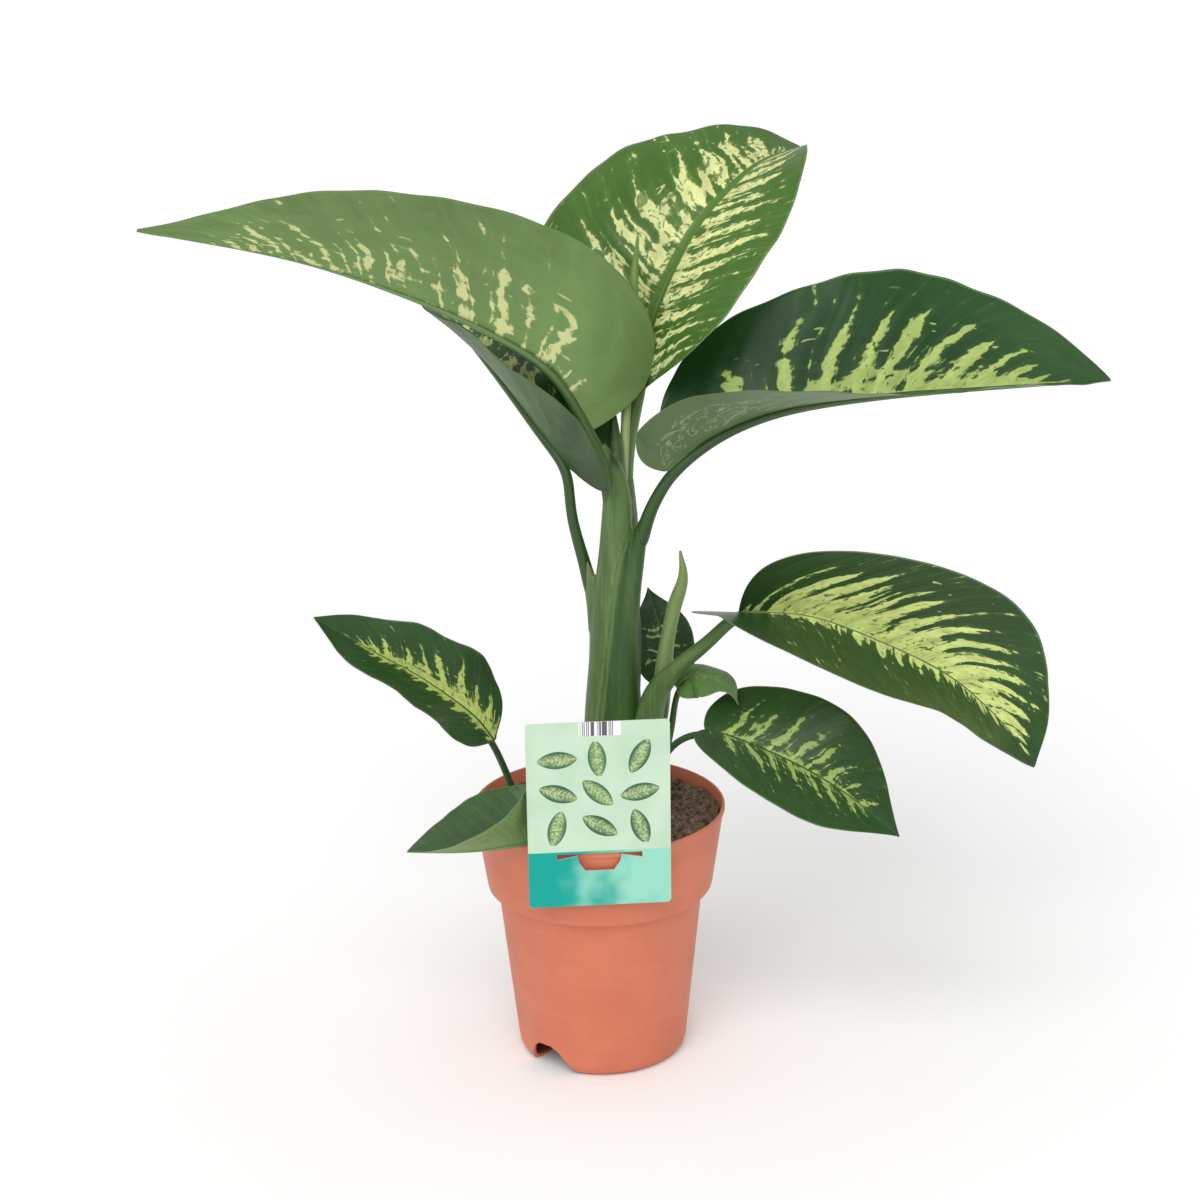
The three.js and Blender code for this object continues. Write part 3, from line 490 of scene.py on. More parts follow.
def bladeSurface(shape, lanes, rows, columns):
    # middle surface of a blade: from the midrib each row runs forwards and out to the margin,
    # lifted by the fold and bent by the curl, with waves that grow towards the margin
    build = bladeBuild
    length = pathLength(shape["midrib"])
    t = np.linspace(build["firstRow"], build["lastRow"], rows)[:, None]
    v = np.linspace(-1, 1, 2 * columns + 1)[None, :]
    share, left = np.abs(v), v < 0
    margins = [bladeOutline(shape["outline"], shape["outline"][1][k], t) for k in range(2)]
    roots = [build["spineShare"] * t + (1 - build["spineShare"]) * np.maximum(0, along - build["sweep"] * across)
             for along, across in margins]
    root = (roots[0] + roots[1]) / 2
    vein = build["evenly"] * root + (1 - build["evenly"]) * t
    edgeAlong = np.where(left, margins[0][0], margins[1][0])
    edgeAcross = np.where(left, margins[0][1], margins[1][1])
    along = root + (edgeAlong - root) * share ** build["bow"]
    place = np.clip(along, 0, 1)
    middle, forward = followPath(shape["midrib"], along * length)
    up = through([unit(np.array(f, float)) for f in shape["face"]], place)
    up = unit(up - (up * forward).sum(-1, keepdims=True) * forward)
    right = np.cross(forward, up)
    half = np.where(left, *shape["half"])
    across = share * edgeAcross * half
    bend = np.radians(np.where(left, blend(shape["curl"][0], place), blend(shape["curl"][1], place)))
    bend = bend * share * edgeAcross
    fold = np.where(left, blend(shape["fold"][0], place), blend(shape["fold"][1], place))
    lift = np.radians(fold) + bend / 2
    chord = across * np.sinc(bend / 2 / np.pi)
    count, height, leftStart, rightStart = shape["waves"]
    start = np.where(left, leftStart, rightStart)
    settle = np.sqrt(np.clip(np.sin(np.pi * place), 0, 1))
    rise = chord * np.sin(lift) + height * share**2 * np.sin(2 * np.pi * (count * place + start)) * settle
    size = half / 50
    rise = rise + build["ripple"] * size * share**4 * np.sin(2 * np.pi * (3.7 * count * place + 3 * start)) * settle
    rise = rise + build["pleat"] * size * np.sin(2 * np.pi * lanes * vein) * np.sin(np.pi * share**0.8) * edgeAcross
    points = middle + right * (np.sign(v) * chord * np.cos(lift))[..., None] + up * rise[..., None]
    normal = unit(np.cross(np.gradient(points, axis=1), np.gradient(points, axis=0)))
    return points, normal, t + 0 * v, v + 0 * t, across + 0 * t, vein + 0 * v


def bladePart(shape, lanes, rows, columns):
    # the middle surface moved to either side along its normals, thinner towards the margin, with
    # a groove over the midrib, and joined round the margin
    build = bladeBuild
    points, normal, t, v, across, vein = bladeSurface(shape, lanes, rows, columns)
    half = (build["thick"] + (build["thin"] - build["thick"]) * np.abs(v)) / 2
    groove = build["groove"] * np.exp(-((across / 1.6) ** 2)) * (1 - t)
    upper = points + normal * (half - groove)[..., None]
    lower = points - normal * (half + groove)[..., None]
    wide = points.shape[1]
    count = rows * wide
    top = gridQuads(rows, wide)
    under = top[:, ::-1] + count
    edge = np.concatenate([np.arange(wide - 1), np.arange(rows - 1) * wide + wide - 1,
                           (rows - 1) * wide + np.arange(wide - 1, 0, -1), np.arange(rows - 1, 0, -1) * wide])
    ahead = np.roll(edge, -1)
    rim = np.stack([ahead, edge, edge + count, ahead + count], -1)
    stack = [np.concatenate([grid.ravel(), grid.ravel()]) for grid in (t, v, across, vein)]
    values = {"row": stack[0], "share": stack[1], "across": stack[2], "vein": stack[3],
              "under": np.r_[np.zeros(count), np.ones(count)]}
    return {"points": np.vstack([upper.reshape(-1, 3), lower.reshape(-1, 3)]), "quads": np.vstack([top, under, rim]),
            "look": 0, "values": values}


def stalkPart(shape, small):
    # the stalk runs on as the rib under the blade: it sinks below the middle surface there and
    # thins to nothing at the tip
    build = bladeBuild
    path = shape["stalk"] + [shape["midrib"][0]]
    stalkLength, ribLength = pathLength(path), pathLength(shape["midrib"])
    rings = build["stalkRings"] // (2 if small else 1)
    stalkStep = np.linspace(0, 1, rings // 2, endpoint=False)
    ribStep = np.linspace(0, 0.985, rings)
    first, firstWay = followPath(path, stalkStep * stalkLength)
    second, secondWay = followPath(shape["midrib"], ribStep * ribLength)
    base = shape["stalkRadii"][-1]
    ribRadius = base * (1 - ribStep) ** shape.get("ribTaper", 1.1) * 0.85 + 0.2
    ribRadius = ribRadius + (base - ribRadius[0]) * np.exp(-ribStep * 18)
    up = through([unit(np.array(f, float)) for f in shape["face"]], ribStep)
    up = unit(up - (up * secondWay).sum(-1, keepdims=True) * secondWay)
    sink = ribRadius * 0.75 * np.clip(ribStep * 14, 0, 1)
    places = np.vstack([first, second - up * sink[:, None]])
    for _ in range(build["softened"]):
        places[1:-1] = (places[:-2] + 2 * places[1:-1] + places[2:]) / 4
    ways = unit(np.gradient(places, axis=0))
    foot = 0.5 + 0.5 * np.sin(np.pi / 2 * np.clip(stalkStep / 0.22, 0, 1))
    radius = np.r_[blend(shape["stalkRadii"], stalkStep) * foot, ribRadius]
    sides = build["stalkSides"] - (8 if small else 0)
    part = tubePart(places, ways, radius, sides, look=1)
    part["values"]["row"] = np.r_[np.repeat(np.r_[0 * stalkStep, ribStep], sides), 0, 1]
    return part


def leafMaterial(name, look):
    # cream fingers along the side veins: each lane holds one, with its own length and width, and
    # noise stretched along the veins makes the edges ragged; then flecks, dots, veins and mottling
    material, start, shader = newMaterial(name, {"Specular IOR Level": 0.26})
    row, share, across = start.value("row"), start.value("share"), start.value("across")
    under, place = start.value("under"), start.value("vein")
    out = abs(share)
    right = share.above(0)

    def side(key):
        # the value for this half, and for this row where the look gives one for base and tip
        (a, b), (c, d) = [pair if isinstance(pair, tuple) else (pair, pair) for pair in
                          (look["left"][key], look["right"][key])]
        value = right * (c - a) + a
        return value if (a, c) == (b, d) else value + place * (right * ((d - c) - (b - a)) + (b - a))

    seeded = right * 9.7 + look["seed"]
    lanes = side("lanes")
    drift = start.vector(place * 6, out * 2, seeded).noise(1, 1, 0.5) - 0.5
    slope = place - out * side("lean") * 0.1
    lane = slope * lanes + drift * 0.8
    begin, end = look["ends"]
    span = place.rise(begin - 0.04, begin + 0.1) * place.rise(end - 0.2, end, 1, 0)
    reach = side("reach") * (span * 0.7 + 0.3)

    def fingers(lane, length, width, key):
        luck = start.node("ShaderNodeTexWhiteNoise", {"noise_dimensions": "2D"},
                          {"Vector": start.vector(lane.whole(), seeded + key, 0)}, 1).split()
        reached = out / (length * (1 - side("vary") * luck[0]))
        thick = width * (0.7 + luck[1] * 0.6) * (1 + side("swell") * (reached - 0.5))
        cap = (1 - reached ** 2.4).most(0) ** 0.7
        return thick * cap - abs(lane.part() - 0.5 + (luck[2] - 0.5) * 0.35) - (1 - cap) * 0.12

    wisp = start.vector(lane * 2.8, out * 5.5, seeded + 3).noise(1, 4, 0.62, 0.25)
    knob = start.vector(lane * 1.3, out * 12, seeded + 5).noise(1, 2, 0.5)
    merged = side("merge") * (1 - out / (reach * 0.45)) - 0.12
    main = fingers(lane, reach, side("width"), 0).most(merged)
    small = fingers(lane * 2.7 + 0.4, reach * 0.72, side("fine"), 20) * 0.6
    border = abs((lane.part() - 0.5) * 2)
    gap = border.rise(0.6, 1) * (out / reach).rise(0.05, 0.7) * side("gap")
    depth = main.most(small) - gap + (wisp - 0.5) * side("ragged") + (knob - 0.5) * 0.42 - (1 - span) * 0.25
    cream = depth.rise(-0.02, 0.05)
    crack = look.get("crack", 0.64)
    flecks = start.vector(lane * 4.5, out * 11, seeded + 6).noise(1, 2, 0.6, 0.8).rise(crack - 0.03, crack + 0.03)
    cream = cream * (1 - flecks * 0.8)
    dots = start.vector(lane * 2.6, out * 24, seeded + 11).noise(1, 1, 0.4).rise(0.73, 0.77)
    cream = cream.most(dots * (out / (reach * 1.05)).rise(0.8, 1, 1, 0) * span * 0.75)
    ribBand = (across / ((1 - row) * look["rib"] + 0.25)).rise(0.75, 1.15)
    cream = cream * (ribBand * (1 - under) + under)
    # greens: a painted sheen in broad bands between the side veins, a lighter line on each vein, mottling
    veined = slope * look["veins"] + drift * 0.25
    vein = (abs(veined.part() - 0.5) * 2).rise(0.72, 1)
    mottle = start.vector(row * 7, share * 3, seeded).noise(1, 4, 0.6)
    # noise for the painted sheen streaks, also used in the bump
    sheen = start.vector(veined * 0.9, out * 1.3, seeded + 2).noise(1, 2, 0.55)
    green = (out.rise(0.3, 1) * 0.6 + mottle * 0.6 - 0.1).rise(0, 1).pick(tone(*look["green"]), tone(*look["edge"]))
    green = row.rise(0.45, 1).pick(green, tone(*look.get("tip", look["green"])))
    # painted sheen: the green is lighter where the sheen noise is high; the lighter line on each vein is the leaf's
    # own
    green = (sheen.rise(0.5, 0.75) * 0.3 + vein * 0.06).pick(green, tone(*[c * 1.25 for c in look["green"]]))
    green = (mottle.rise(0.35, 0.7) * 0.3).pick(green, tone(*[c * 0.78 for c in look["green"]]))
    green = (depth.rise(-0.2, 0) * 0.2).pick(green, tone(*[0.65 * g + 0.35 * c for g, c in
                                                            zip(look["green"], look["cream"])]))
    shade = wisp.rise(0.35, 0.65) * 0.4 + knob.rise(0.4, 0.6) * 0.3 + border.rise(0.55, 1) * 0.3
    creamTone = shade.pick(tone(*[min(255, c * 1.05 + 5) for c in look["cream"]]), tone(*[c * 0.84 for c in look["cream"]]))
    if "creamBase" in look:
        creamTone = (row.rise(0, 0.5, 1, 0) * (1 - shade) * 0.9).pick(creamTone, tone(*look["creamBase"]))
    upper = cream.pick(green, creamTone)
    ribTone = tone(*[0.8 * g + 0.2 * c for g, c in zip(look["green"], (150, 180, 100))])
    upper = ((1 - ribBand) * 0.8).pick(upper, ribTone)
    underGreen = mottle.rise(0.3, 0.7).pick(tone(*look["under"]), tone(*[c * 0.9 for c in look["under"]]))
    # painted shade: the under side turns darker towards the base of the blade
    underGreen = row.rise(0.26, 0.6, 1, 0).pick(underGreen, tone(*look.get("underBaseShade", look["under"])))
    underGreen = (depth.rise(-0.5, 0) * 0.3).pick(underGreen, tone(*[min(255, c * 1.14 + 8) for c in look["under"]]))
    # painted sheen on the under side: lighter where the sheen noise is high, with the leaf's own lighter vein lines
    underGreen = (sheen.rise(0.45, 0.75) * 0.35 + vein * 0.06).pick(underGreen, tone(*[min(255, c * 1.15) for c in look["under"]]))
    lower = (cream * 0.9).pick(underGreen, tone(*look["underCream"]))
    if "scar" in look:
        # a patch of thin pale winding lines on the under side of the right half
        (scarPlace, placeReach), (scarOut, outReach) = look["scar"]
        offPlace, offOut = (place - scarPlace) / placeReach, (out - scarOut) / outReach
        patch = (offPlace * offPlace + offOut * offOut).rise(0.5, 1, 1, 0) * right
        line = abs(start.vector(place * 42, out * 7, seeded + 8).noise(1, 2, 0.6, 0.6) - 0.5).rise(0.008, 0.035, 1, 0)
        lower = (patch * line * 0.55).pick(lower, tone(168, 186, 150))
    edging = out.rise(0.975, 0.995) * 0.35
    colour = under.pick(edging.pick(upper, tone(150, 170, 124)), lower)
    grit = start.vector(veined * 14, out * 90, seeded).noise(1, 2, 0.5)
    height = vein * -0.4 + sheen * 0.7 + grit * 0.1
    roughness = under * 0.14 + (grit - 0.5) * 0.12 + 0.36 + cream * 0.05
    connect(start, shader, colour=colour, roughness=roughness, normal=bump(start, height, 0.35, 0.0006))
    return material


def stemMaterial(name, look):
    # fine streaks along the stem and small pale flecks; a rib fades to the colour of the under face
    material, start, shader = newMaterial(name, {"Specular IOR Level": 0.45})
    x, y, z = start.value("grain", 1).split()
    row = start.value("row")
    streak = start.vector(x * 0.8, y * 0.8, z * 0.03).noise(1, 3, 0.5, 0.3)
    patch = start.vector(x * 0.12, y * 0.12, z * 0.02).noise(1, 2, 0.5)
    fleck = start.vector(x * 1.6, y * 1.6, z * 0.25).noise(1, 1, 0.5)
    colour = streak.rise(0.25, 0.75).pick(tone(*look["dark"]), tone(*look["light"]))
    if "shadeLine" in look:
        # the sheath on the right of this line up the stem is darker
        base, foot, slope, bendFrom, bend = look["shadeLine"]
        past = (z - bendFrom).most(0)
        beyond = x - (z - foot) * slope - past * past * bend - base + (patch - 0.5) * 2
        colour = (beyond.rise(-0.5, 0.5) * 0.75).pick(colour, tone(*look["shade"]))
        # painted highlight: a thin pale line just left of the darker sheath, along its edge
        colour = (abs(beyond + 1).rise(0, 0.9, 1, 0) * 0.4).pick(colour, tone(*look["pale"]))
        colour = (abs(beyond + 3.2).rise(0, 1.2, 1, 0) * fleck.rise(0.35, 0.6) * 0.6).pick(colour, tone(*look["pale"]))
        low = z.rise(120, 200, 1, 0) * x.rise(2, 12)
        colour = (low * 0.75).pick(colour, tone(*look["foot"]))
        # painted shade: a dark patch on the sheath behind the leaf stalk near the top of the cane
        behind = x.rise(6.8, 8.4) * z.rise(291, 296)
        colour = (behind * 0.8).pick(colour, tone(*look["deepShade"]))
        for (mx, my, mz), size, markTone in look["marks"]:
            off = ((x - mx) * (x - mx) + (y - my) * (y - my) + (z - mz) * (z - mz)) / size ** 2
            colour = (off + (streak - 0.5)).rise(0.5, 1.1, 0.9, 0).pick(colour, tone(*markTone))
    colour = (patch.rise(0.45, 0.7) * look["patch"]).pick(colour, tone(*look["pale"]))
    colour = (fleck.rise(0.68, 0.74) * 0.35).pick(colour, tone(*look["pale"]))
    if "under" in look:
        colour = row.rise(0, 0.5).pick(colour, tone(*look["under"]))
    if "top" in look:
        (low, high), topTone = look["top"]
        colour = (z.rise(low, high) * 0.8).pick(colour, tone(*topTone))
    connect(start, shader, colour=colour, roughness=streak * 0.2 + 0.36,
            normal=bump(start, streak + fleck * 0.3, 0.2, 0.0004))
    return material


stemLooks = {
    "cane": {"dark": (58, 88, 40), "light": (80, 110, 55), "pale": (108, 134, 78), "patch": 0.35,
             "shadeLine": (3.4, 175, 0.12, 235, 0.0052), "shade": (40, 76, 28), "foot": (90, 134, 44),
             "marks": (((14, -4.4, 290.6), 2, (80, 66, 34)), ((-1.6, -2, 242), 5, (102, 110, 52))), "deepShade": (22, 46, 18)},
    "shoot": {"dark": (66, 94, 44), "light": (84, 114, 56), "pale": (108, 134, 78), "patch": 0.3},
    "stalk": {"dark": (40, 70, 28), "light": (52, 82, 36), "pale": (74, 104, 52), "patch": 0.25},
    "broadStalk": {"dark": (50, 78, 32), "light": (68, 98, 44), "pale": (92, 120, 62), "patch": 0.3},
    "paleStalk": {"dark": (82, 114, 54), "light": (110, 142, 76), "pale": (150, 164, 112), "patch": 0.4},
    "lowStalk": {"dark": (40, 66, 34), "light": (56, 82, 42), "pale": (80, 104, 60), "patch": 0.25},
    "mainSpear": {"dark": (116, 144, 76), "light": (152, 176, 108), "pale": (204, 212, 150), "patch": 0.8,
                  "top": ((64, 110), (88, 126, 54))},
    "shootSpear": {"top": ((20, 46), (120, 142, 84)), "dark": (84, 112, 56), "light": (108, 132, 74), "pale": (170, 182, 124), "patch": 0.75},
}

smallLeaves = ("leaf_right_low", "leaf_left_small", "leaf_left_rim", "leaf_curled", "leaf_behind_cane")
stalkKinds = {"leaf_right_low": "lowStalk", "leaf_left_small": "lowStalk", "leaf_left_rim": "lowStalk",
              "leaf_top": "paleStalk", "leaf_shoot_right": "shoot", "leaf_left_long": "broadStalk"}
for leafName, leafShape in leafShapes.items():
    small = leafName in smallLeaves
    leafRows = bladeBuild["smallRows" if small else "rows"]
    leafColumns = bladeBuild["smallColumns" if small else "columns"]
    leafLook = leafLooks[leafName]
    leafParts = [bladePart(leafShape, leafLook["veins"], leafRows, leafColumns), stalkPart(leafShape, small)]
    bladeMaterial = leafMaterial(leafName + "_skin", leafLook)
    stalkLook = dict(stemLooks[stalkKinds.get(leafName, "stalk")], under=leafLook["under"])
    stalkSkin = stemMaterial(leafName + "_stalk_skin", stalkLook)
    makePiece(leafName + "_visual", leafParts, [bladeMaterial, stalkSkin], [leafName])
print("leaves done")


# young leaves still rolled into spears
rolls = {
    "leaf_roll_main": {
        "path": [[12.5, 2, 254], [14.2, 2.6, 288], [16.4, 6.5, 328], [19.5, 10.5, 370], [22, 10, 394.5]],
        "radii": [2.1, 2.2, 2.4, 3, 0.6], "twist": 1.2, "start": 0.4, "look": "mainSpear",
    },
    "leaf_roll_shoot": {
        "path": [[25.5, -10, 153], [29, -6, 172], [32, -4, 200], [36, -4, 222], [40.5, -5, 238], [39.5, -4, 251]],
        "radii": [2.8, 4.3, 4.1, 3.4, 3.2, 0.6], "twist": 0.8, "start": 1.6, "look": "shootSpear",
    },
}
for rollName, roll in rolls.items():
    # the section is a spiral whose outer edge makes a low step that winds slowly up the spear
    rings, sides = 120, 40
    step = np.linspace(0, 1, rings)
    places, ways = followPath(roll["path"], step * pathLength(roll["path"]) * 0.998)
    angle = np.linspace(0, 2 * np.pi, sides, endpoint=False)[None, :]
    seam = ((angle - roll["start"] - roll["twist"] * step[:, None]) / (2 * np.pi)) % 1
    spiral = 0.9 + 0.16 * seam
    spear = tubePart(places, ways, blend(roll["radii"], step) * 0.97, sides, turned=spiral)
    makePiece(rollName + "_visual", [spear], [stemMaterial(rollName + "_skin", stemLooks[roll["look"]])], [rollName])
print("rolled leaves done")


# cane and side shoot: tubes for the grown-together sheaths, fused and smoothed
stems = {
    "cane": {
        "strands": [
            ([[6, 1, 96], [7, 1, 140], [9, 1, 180], [11, 1, 222], [12, 1.5, 254]], [12.5, 12, 11.5, 10.5, 4.5]),
            ([[6.6, 0.6, 121], [3, -3, 150], [5.5, -4, 200], [7.5, -4.5, 230], [9.6, -6, 254], [10.8, -7, 276], [9.2, -8, 290],
              [4, -9.6, 303]], [9, 9.5, 9.6, 8.8, 8.3, 7.4, 6.4, 2.2]),
            ([[7.6, 0.8, 124], [11, -2, 150], [12, -3, 200], [15, -5, 228], [17.8, -6, 244], [21.2, -8, 260],
              [26.2, -10.4, 273]], [9, 9.3, 9.3, 7.8, 6.2, 4.4, 2.2]),
            ([[11.6, 1, 238], [11, -1, 262], [11.2, -2, 284], [10.6, -1, 300], [9.4, 1, 318]], [7.5, 7, 5, 3.4, 1.2]),
            ([[7.6, 1.6, 146], [5, 4, 170], [3.5, 4, 205], [1, 3.5, 220], [-4, 2.7, 240]], [8.8, 9, 7.7, 5.3, 2]),
            ([[3, -1, 212], [0, -1.5, 228], [-3.4, -1.2, 246]], [6.5, 4, 0.5]),
            ([[9.4, 1.6, 170], [12, 5, 200], [13, 7, 236], [14.5, 10, 262], [15.6, 13.5, 290]], [8.2, 8.5, 7.7, 6.2, 2.2]),
        ],
        "voxel": 0.75, "smooth": 5, "look": "cane",
    },
    "side_shoot": {
        "strands": [
            ([[21, -9, 98], [22, -10, 130], [23.4, -12, 162]], [8, 8.5, 6.8]),
            ([[22, -10.4, 122], [22.5, -12, 140], [23.6, -13, 166], [26.8, -14.6, 183], [33.4, -17, 194.5],
              [42.6, -19.3, 204.2]], [7.2, 8.2, 7.6, 6.6, 5, 2.4]),
        ],
        "voxel": 0.6, "smooth": 5, "look": "shoot",
    },
}


def fusedStem(name, look):
    # closed tubes joined in one mesh, made one skin by a voxel remesh and then smoothed
    parts = []
    for path, radii in look["strands"]:
        step = np.linspace(0, 1, 70)
        places, ways = followPath(path, step * pathLength(path))
        parts.append(tubePart(places, ways, blend(radii, step), 40))
    rough = makePiece(name + "_rough", parts, [])
    fuse = rough.modifiers.new("fuse", "REMESH")
    fuse.mode, fuse.voxel_size = "VOXEL", look["voxel"] * mm
    soft = rough.modifiers.new("soft", "SMOOTH")
    soft.factor, soft.iterations = 0.5, look["smooth"]
    done = rough.evaluated_get(bpy.context.evaluated_depsgraph_get()).to_mesh()
    points = np.zeros(len(done.vertices) * 3)
    done.vertices.foreach_get("co", points)
    points = points.reshape(-1, 3) / mm
    corners = np.zeros(len(done.loops), int)
    done.loops.foreach_get("vertex_index", corners)
    quads = corners.reshape(-1, 4)
    rough.evaluated_get(bpy.context.evaluated_depsgraph_get()).to_mesh_clear()
    bpy.data.objects.remove(rough)
    makePiece(name + "_visual", [{"points": points, "quads": quads, "values": {"grain": points.copy()}}],
              [stemMaterial(name + "_skin", stemLooks[look["look"]])], [name])


for stemName, stemLook in stems.items():
    fusedStem(stemName, stemLook)
print("stems done")


potLook = {
    "outer": [[34.8, 0], [39, 1.6], [40.6, 4.8], [41.1, 9], [49, 83], [53.6, 85.1], [54, 86.5],
              [59.2, 121.8], [60, 122.4], [60, 124.6], [59.6, 125]],
    "inner": [[58.7, 125], [57.9, 121.8], [52.7, 87.1], [47.7, 83.2], [39.8, 9.4], [38.8, 5.2], [37.6, 2.6], [33.8, 1.3]],
    "wall": 1.3, "segments": 168, "rounding": 0.7,
    "notch": [[-11, -1], [-9.6, 6], [-7.5, 10.5], [-3.5, 13.2], [3.5, 13.4], [8, 10.8], [17.5, -1]],
    "notchTurns": (-42, 138), "notchDepth": 24, "notchStart": 22,
    "drainTurns": (10, 70, 190, 250), "drainRing": 21, "drainRadius": 3,
    "colour": (209, 120, 91), "dark": (200, 111, 82), "pale": (216, 132, 104),
}


def roundedLine(points, rounding, steps=4):
    # each inner corner gives way to a short curve between points a little before and after it
    p = np.asarray(points, float)
    before, here, after = p[:-2], p[1:-1], p[2:]
    lengthBefore = np.linalg.norm(before - here, axis=1, keepdims=True)
    lengthAfter = np.linalg.norm(after - here, axis=1, keepdims=True)
    a = here + (before - here) / lengthBefore * np.minimum(rounding, lengthBefore * 0.4)
    b = here + (after - here) / lengthAfter * np.minimum(rounding, lengthAfter * 0.4)
    s = np.linspace(0, 1, steps)[None, :, None]
    curve = (1 - s) ** 2 * a[:, None] + 2 * s * (1 - s) * here[:, None] + s**2 * b[:, None]
    return np.vstack([p[:1], curve.reshape(-1, 2), p[-1:]])


def turnedPart(profile, segments):
    # a profile of radius and height carried round the upright axis
    angle = np.linspace(0, 2 * np.pi, segments, endpoint=False)
    radius, height = profile[:, 0], profile[:, 1]
    points = np.stack([radius[:, None] * np.cos(angle), radius[:, None] * np.sin(angle),
                       np.repeat(height[:, None], segments, 1)], -1).reshape(-1, 3)
    return points, gridQuads(len(profile), segments, True)


def prismPart(outline, near, far, turn, drop=False):
    # an outline carried straight on from near to far, then turned about the upright axis; with
    # drop it is carried downwards instead of outwards
    outline = np.asarray(outline, float)
    count = len(outline)
    if drop:
        ends = [np.c_[outline, np.full(count, depth)] for depth in (near, far)]
    else:
        ends = [np.c_[outline[:, 0], np.full(count, -depth), outline[:, 1]] for depth in (near, far)]
    points = np.vstack(ends)
    c, s = math.cos(math.radians(turn)), math.sin(math.radians(turn))
    points = points @ np.array([[c, s, 0], [-s, c, 0], [0, 0, 1]])
    return points, count


def cutter(name, points, count):
    # a closed prism whose two ends are single faces
    j = np.arange(count)
    ring = np.stack([j, np.roll(j, -1), np.roll(j, -1) + count, j + count], -1).tolist()
    mesh = bpy.data.meshes.new(name)
    mesh.from_pydata((points * mm).tolist(), [], [j[::-1].tolist(), (j + count).tolist()] + ring)
    if outwards(mesh) < 0:
        mesh.flip_normals()
    mesh.update()
    made = bpy.data.objects.new(name, mesh)
    bpy.context.scene.collection.objects.link(made)
    return made


def potMaterial():
    # moulded plastic: a fine grain, faint flow marks round the wall and a little chalky bloom
    material, start, shader = newMaterial("potPlastic", {"Specular IOR Level": 0.4})
    place = start.node("ShaderNodeTexCoord", (), (), 3)
    x, y, z = place.split()
    cloud = place.noise(38, 3, 0.55)
    flow = start.vector(x * 22, y * 22, z * 210).noise(1, 3, 0.6)
    grain = place.noise(1400, 2, 0.5)
    speck = place.noise(620, 1, 0.5)
    colour = cloud.rise(0.2, 0.8).pick(tone(*potLook["colour"]), tone(*potLook["dark"]))
    colour = (flow.rise(0.5, 0.75) * 0.2).pick(colour, tone(*potLook["pale"]))
    colour = (speck.rise(0.68, 0.74) * 0.25).pick(colour, tone(176, 86, 62))
    low = z.rise(0.0, 0.02, 1, 0) * cloud.rise(0.4, 0.7) * 0.3
    colour = low.pick(colour, tone(190, 110, 84))
    height = grain * 0.5 + flow * 0.35 + cloud * 0.6
    connect(start, shader, colour=colour, roughness=cloud * 0.16 + grain * 0.1 + 0.38,
            normal=bump(start, height, 0.18, 0.0005))
    return material


def makePot():
    look = potLook
    outer = roundedLine([[0.4, 0]] + look["outer"], look["rounding"])
    inner = roundedLine(look["inner"] + [[0.4, look["wall"]]], look["rounding"])
    profile = np.vstack([outer, inner])
    points, quads = turnedPart(profile, look["segments"])
    rows = len(profile)
    j = np.arange(look["segments"])
    ahead = np.roll(j, -1)
    last = (rows - 1) * look["segments"]
    points = np.vstack([points, [0, 0, 0], [0, 0, look["wall"]]])
    fans = np.vstack([np.stack([np.full(len(j), len(points) - 2), ahead, j], -1),
                      np.stack([np.full(len(j), len(points) - 1), last + j, last + ahead], -1)])
    rough = makePiece("pot_rough", [{"points": points, "quads": quads, "fans": fans}], [])
    cutters = []
    for k, turn in enumerate(look["notchTurns"]):
        block, count = prismPart(look["notch"], look["notchStart"], look["notchStart"] + look["notchDepth"], turn)
        cutters.append(cutter("notchCut%d" % k, block, count))
    circle = np.linspace(0, 2 * np.pi, 28, endpoint=False)
    for k, turn in enumerate(look["drainTurns"]):
        ring = np.c_[look["drainRadius"] * np.cos(circle), look["drainRadius"] * np.sin(circle) - look["drainRing"]]
        block, count = prismPart(ring, -3, 5, turn, drop=True)
        cutters.append(cutter("drainCut%d" % k, block, count))
    for block in cutters:
        cut = rough.modifiers.new("cut", "BOOLEAN")
        cut.operation, cut.solver, cut.object = "DIFFERENCE", "EXACT", block
    tidy = rough.modifiers.new("tri", "TRIANGULATE")
    tidy.min_vertices = 4
    done = rough.evaluated_get(bpy.context.evaluated_depsgraph_get()).to_mesh()
    points = np.zeros(len(done.vertices) * 3)
    done.vertices.foreach_get("co", points)
    corners = np.zeros(len(done.loops), int)
    done.loops.foreach_get("vertex_index", corners)
    part = {"points": points.reshape(-1, 3) / mm, "fans": corners.reshape(-1, 3)}
    rough.evaluated_get(bpy.context.evaluated_depsgraph_get()).to_mesh_clear()
    for spare in [rough] + cutters:
        bpy.data.objects.remove(spare)
    makePiece("pot_visual", [part], [potMaterial()], ["pot"], sharp=32)


makePot()
print("pot done")


soilLook = {
    "level": 119.5, "relief": 1.8, "slope": 0.02, "rings": 120, "segments": 280, "topRadius": 56.75,
    "lower": [[56.4, 116.5], [52.2, 88], [47.1, 83.1], [41, 26], [31, 18], [16, 1.6]],
    "grains": 520, "fibres": 26, "seed": 41,
}


def latticeNoise(x, y, cell, seed):
    # smooth noise: random numbers on a square grid, blended between its corners
    values = np.random.default_rng(seed).random((256, 256))
    u, v = x / cell + 97.3, y / cell + 61.7
    i, j = np.floor(u).astype(int), np.floor(v).astype(int)
    a, b = u - i, v - j
    a, b = a * a * (3 - 2 * a), b * b * (3 - 2 * b)
    i, j = i % 255, j % 255
    return ((values[i, j] * (1 - a) + values[i + 1, j] * a) * (1 - b)
            + (values[i, j + 1] * (1 - a) + values[i + 1, j + 1] * a) * b) - 0.5


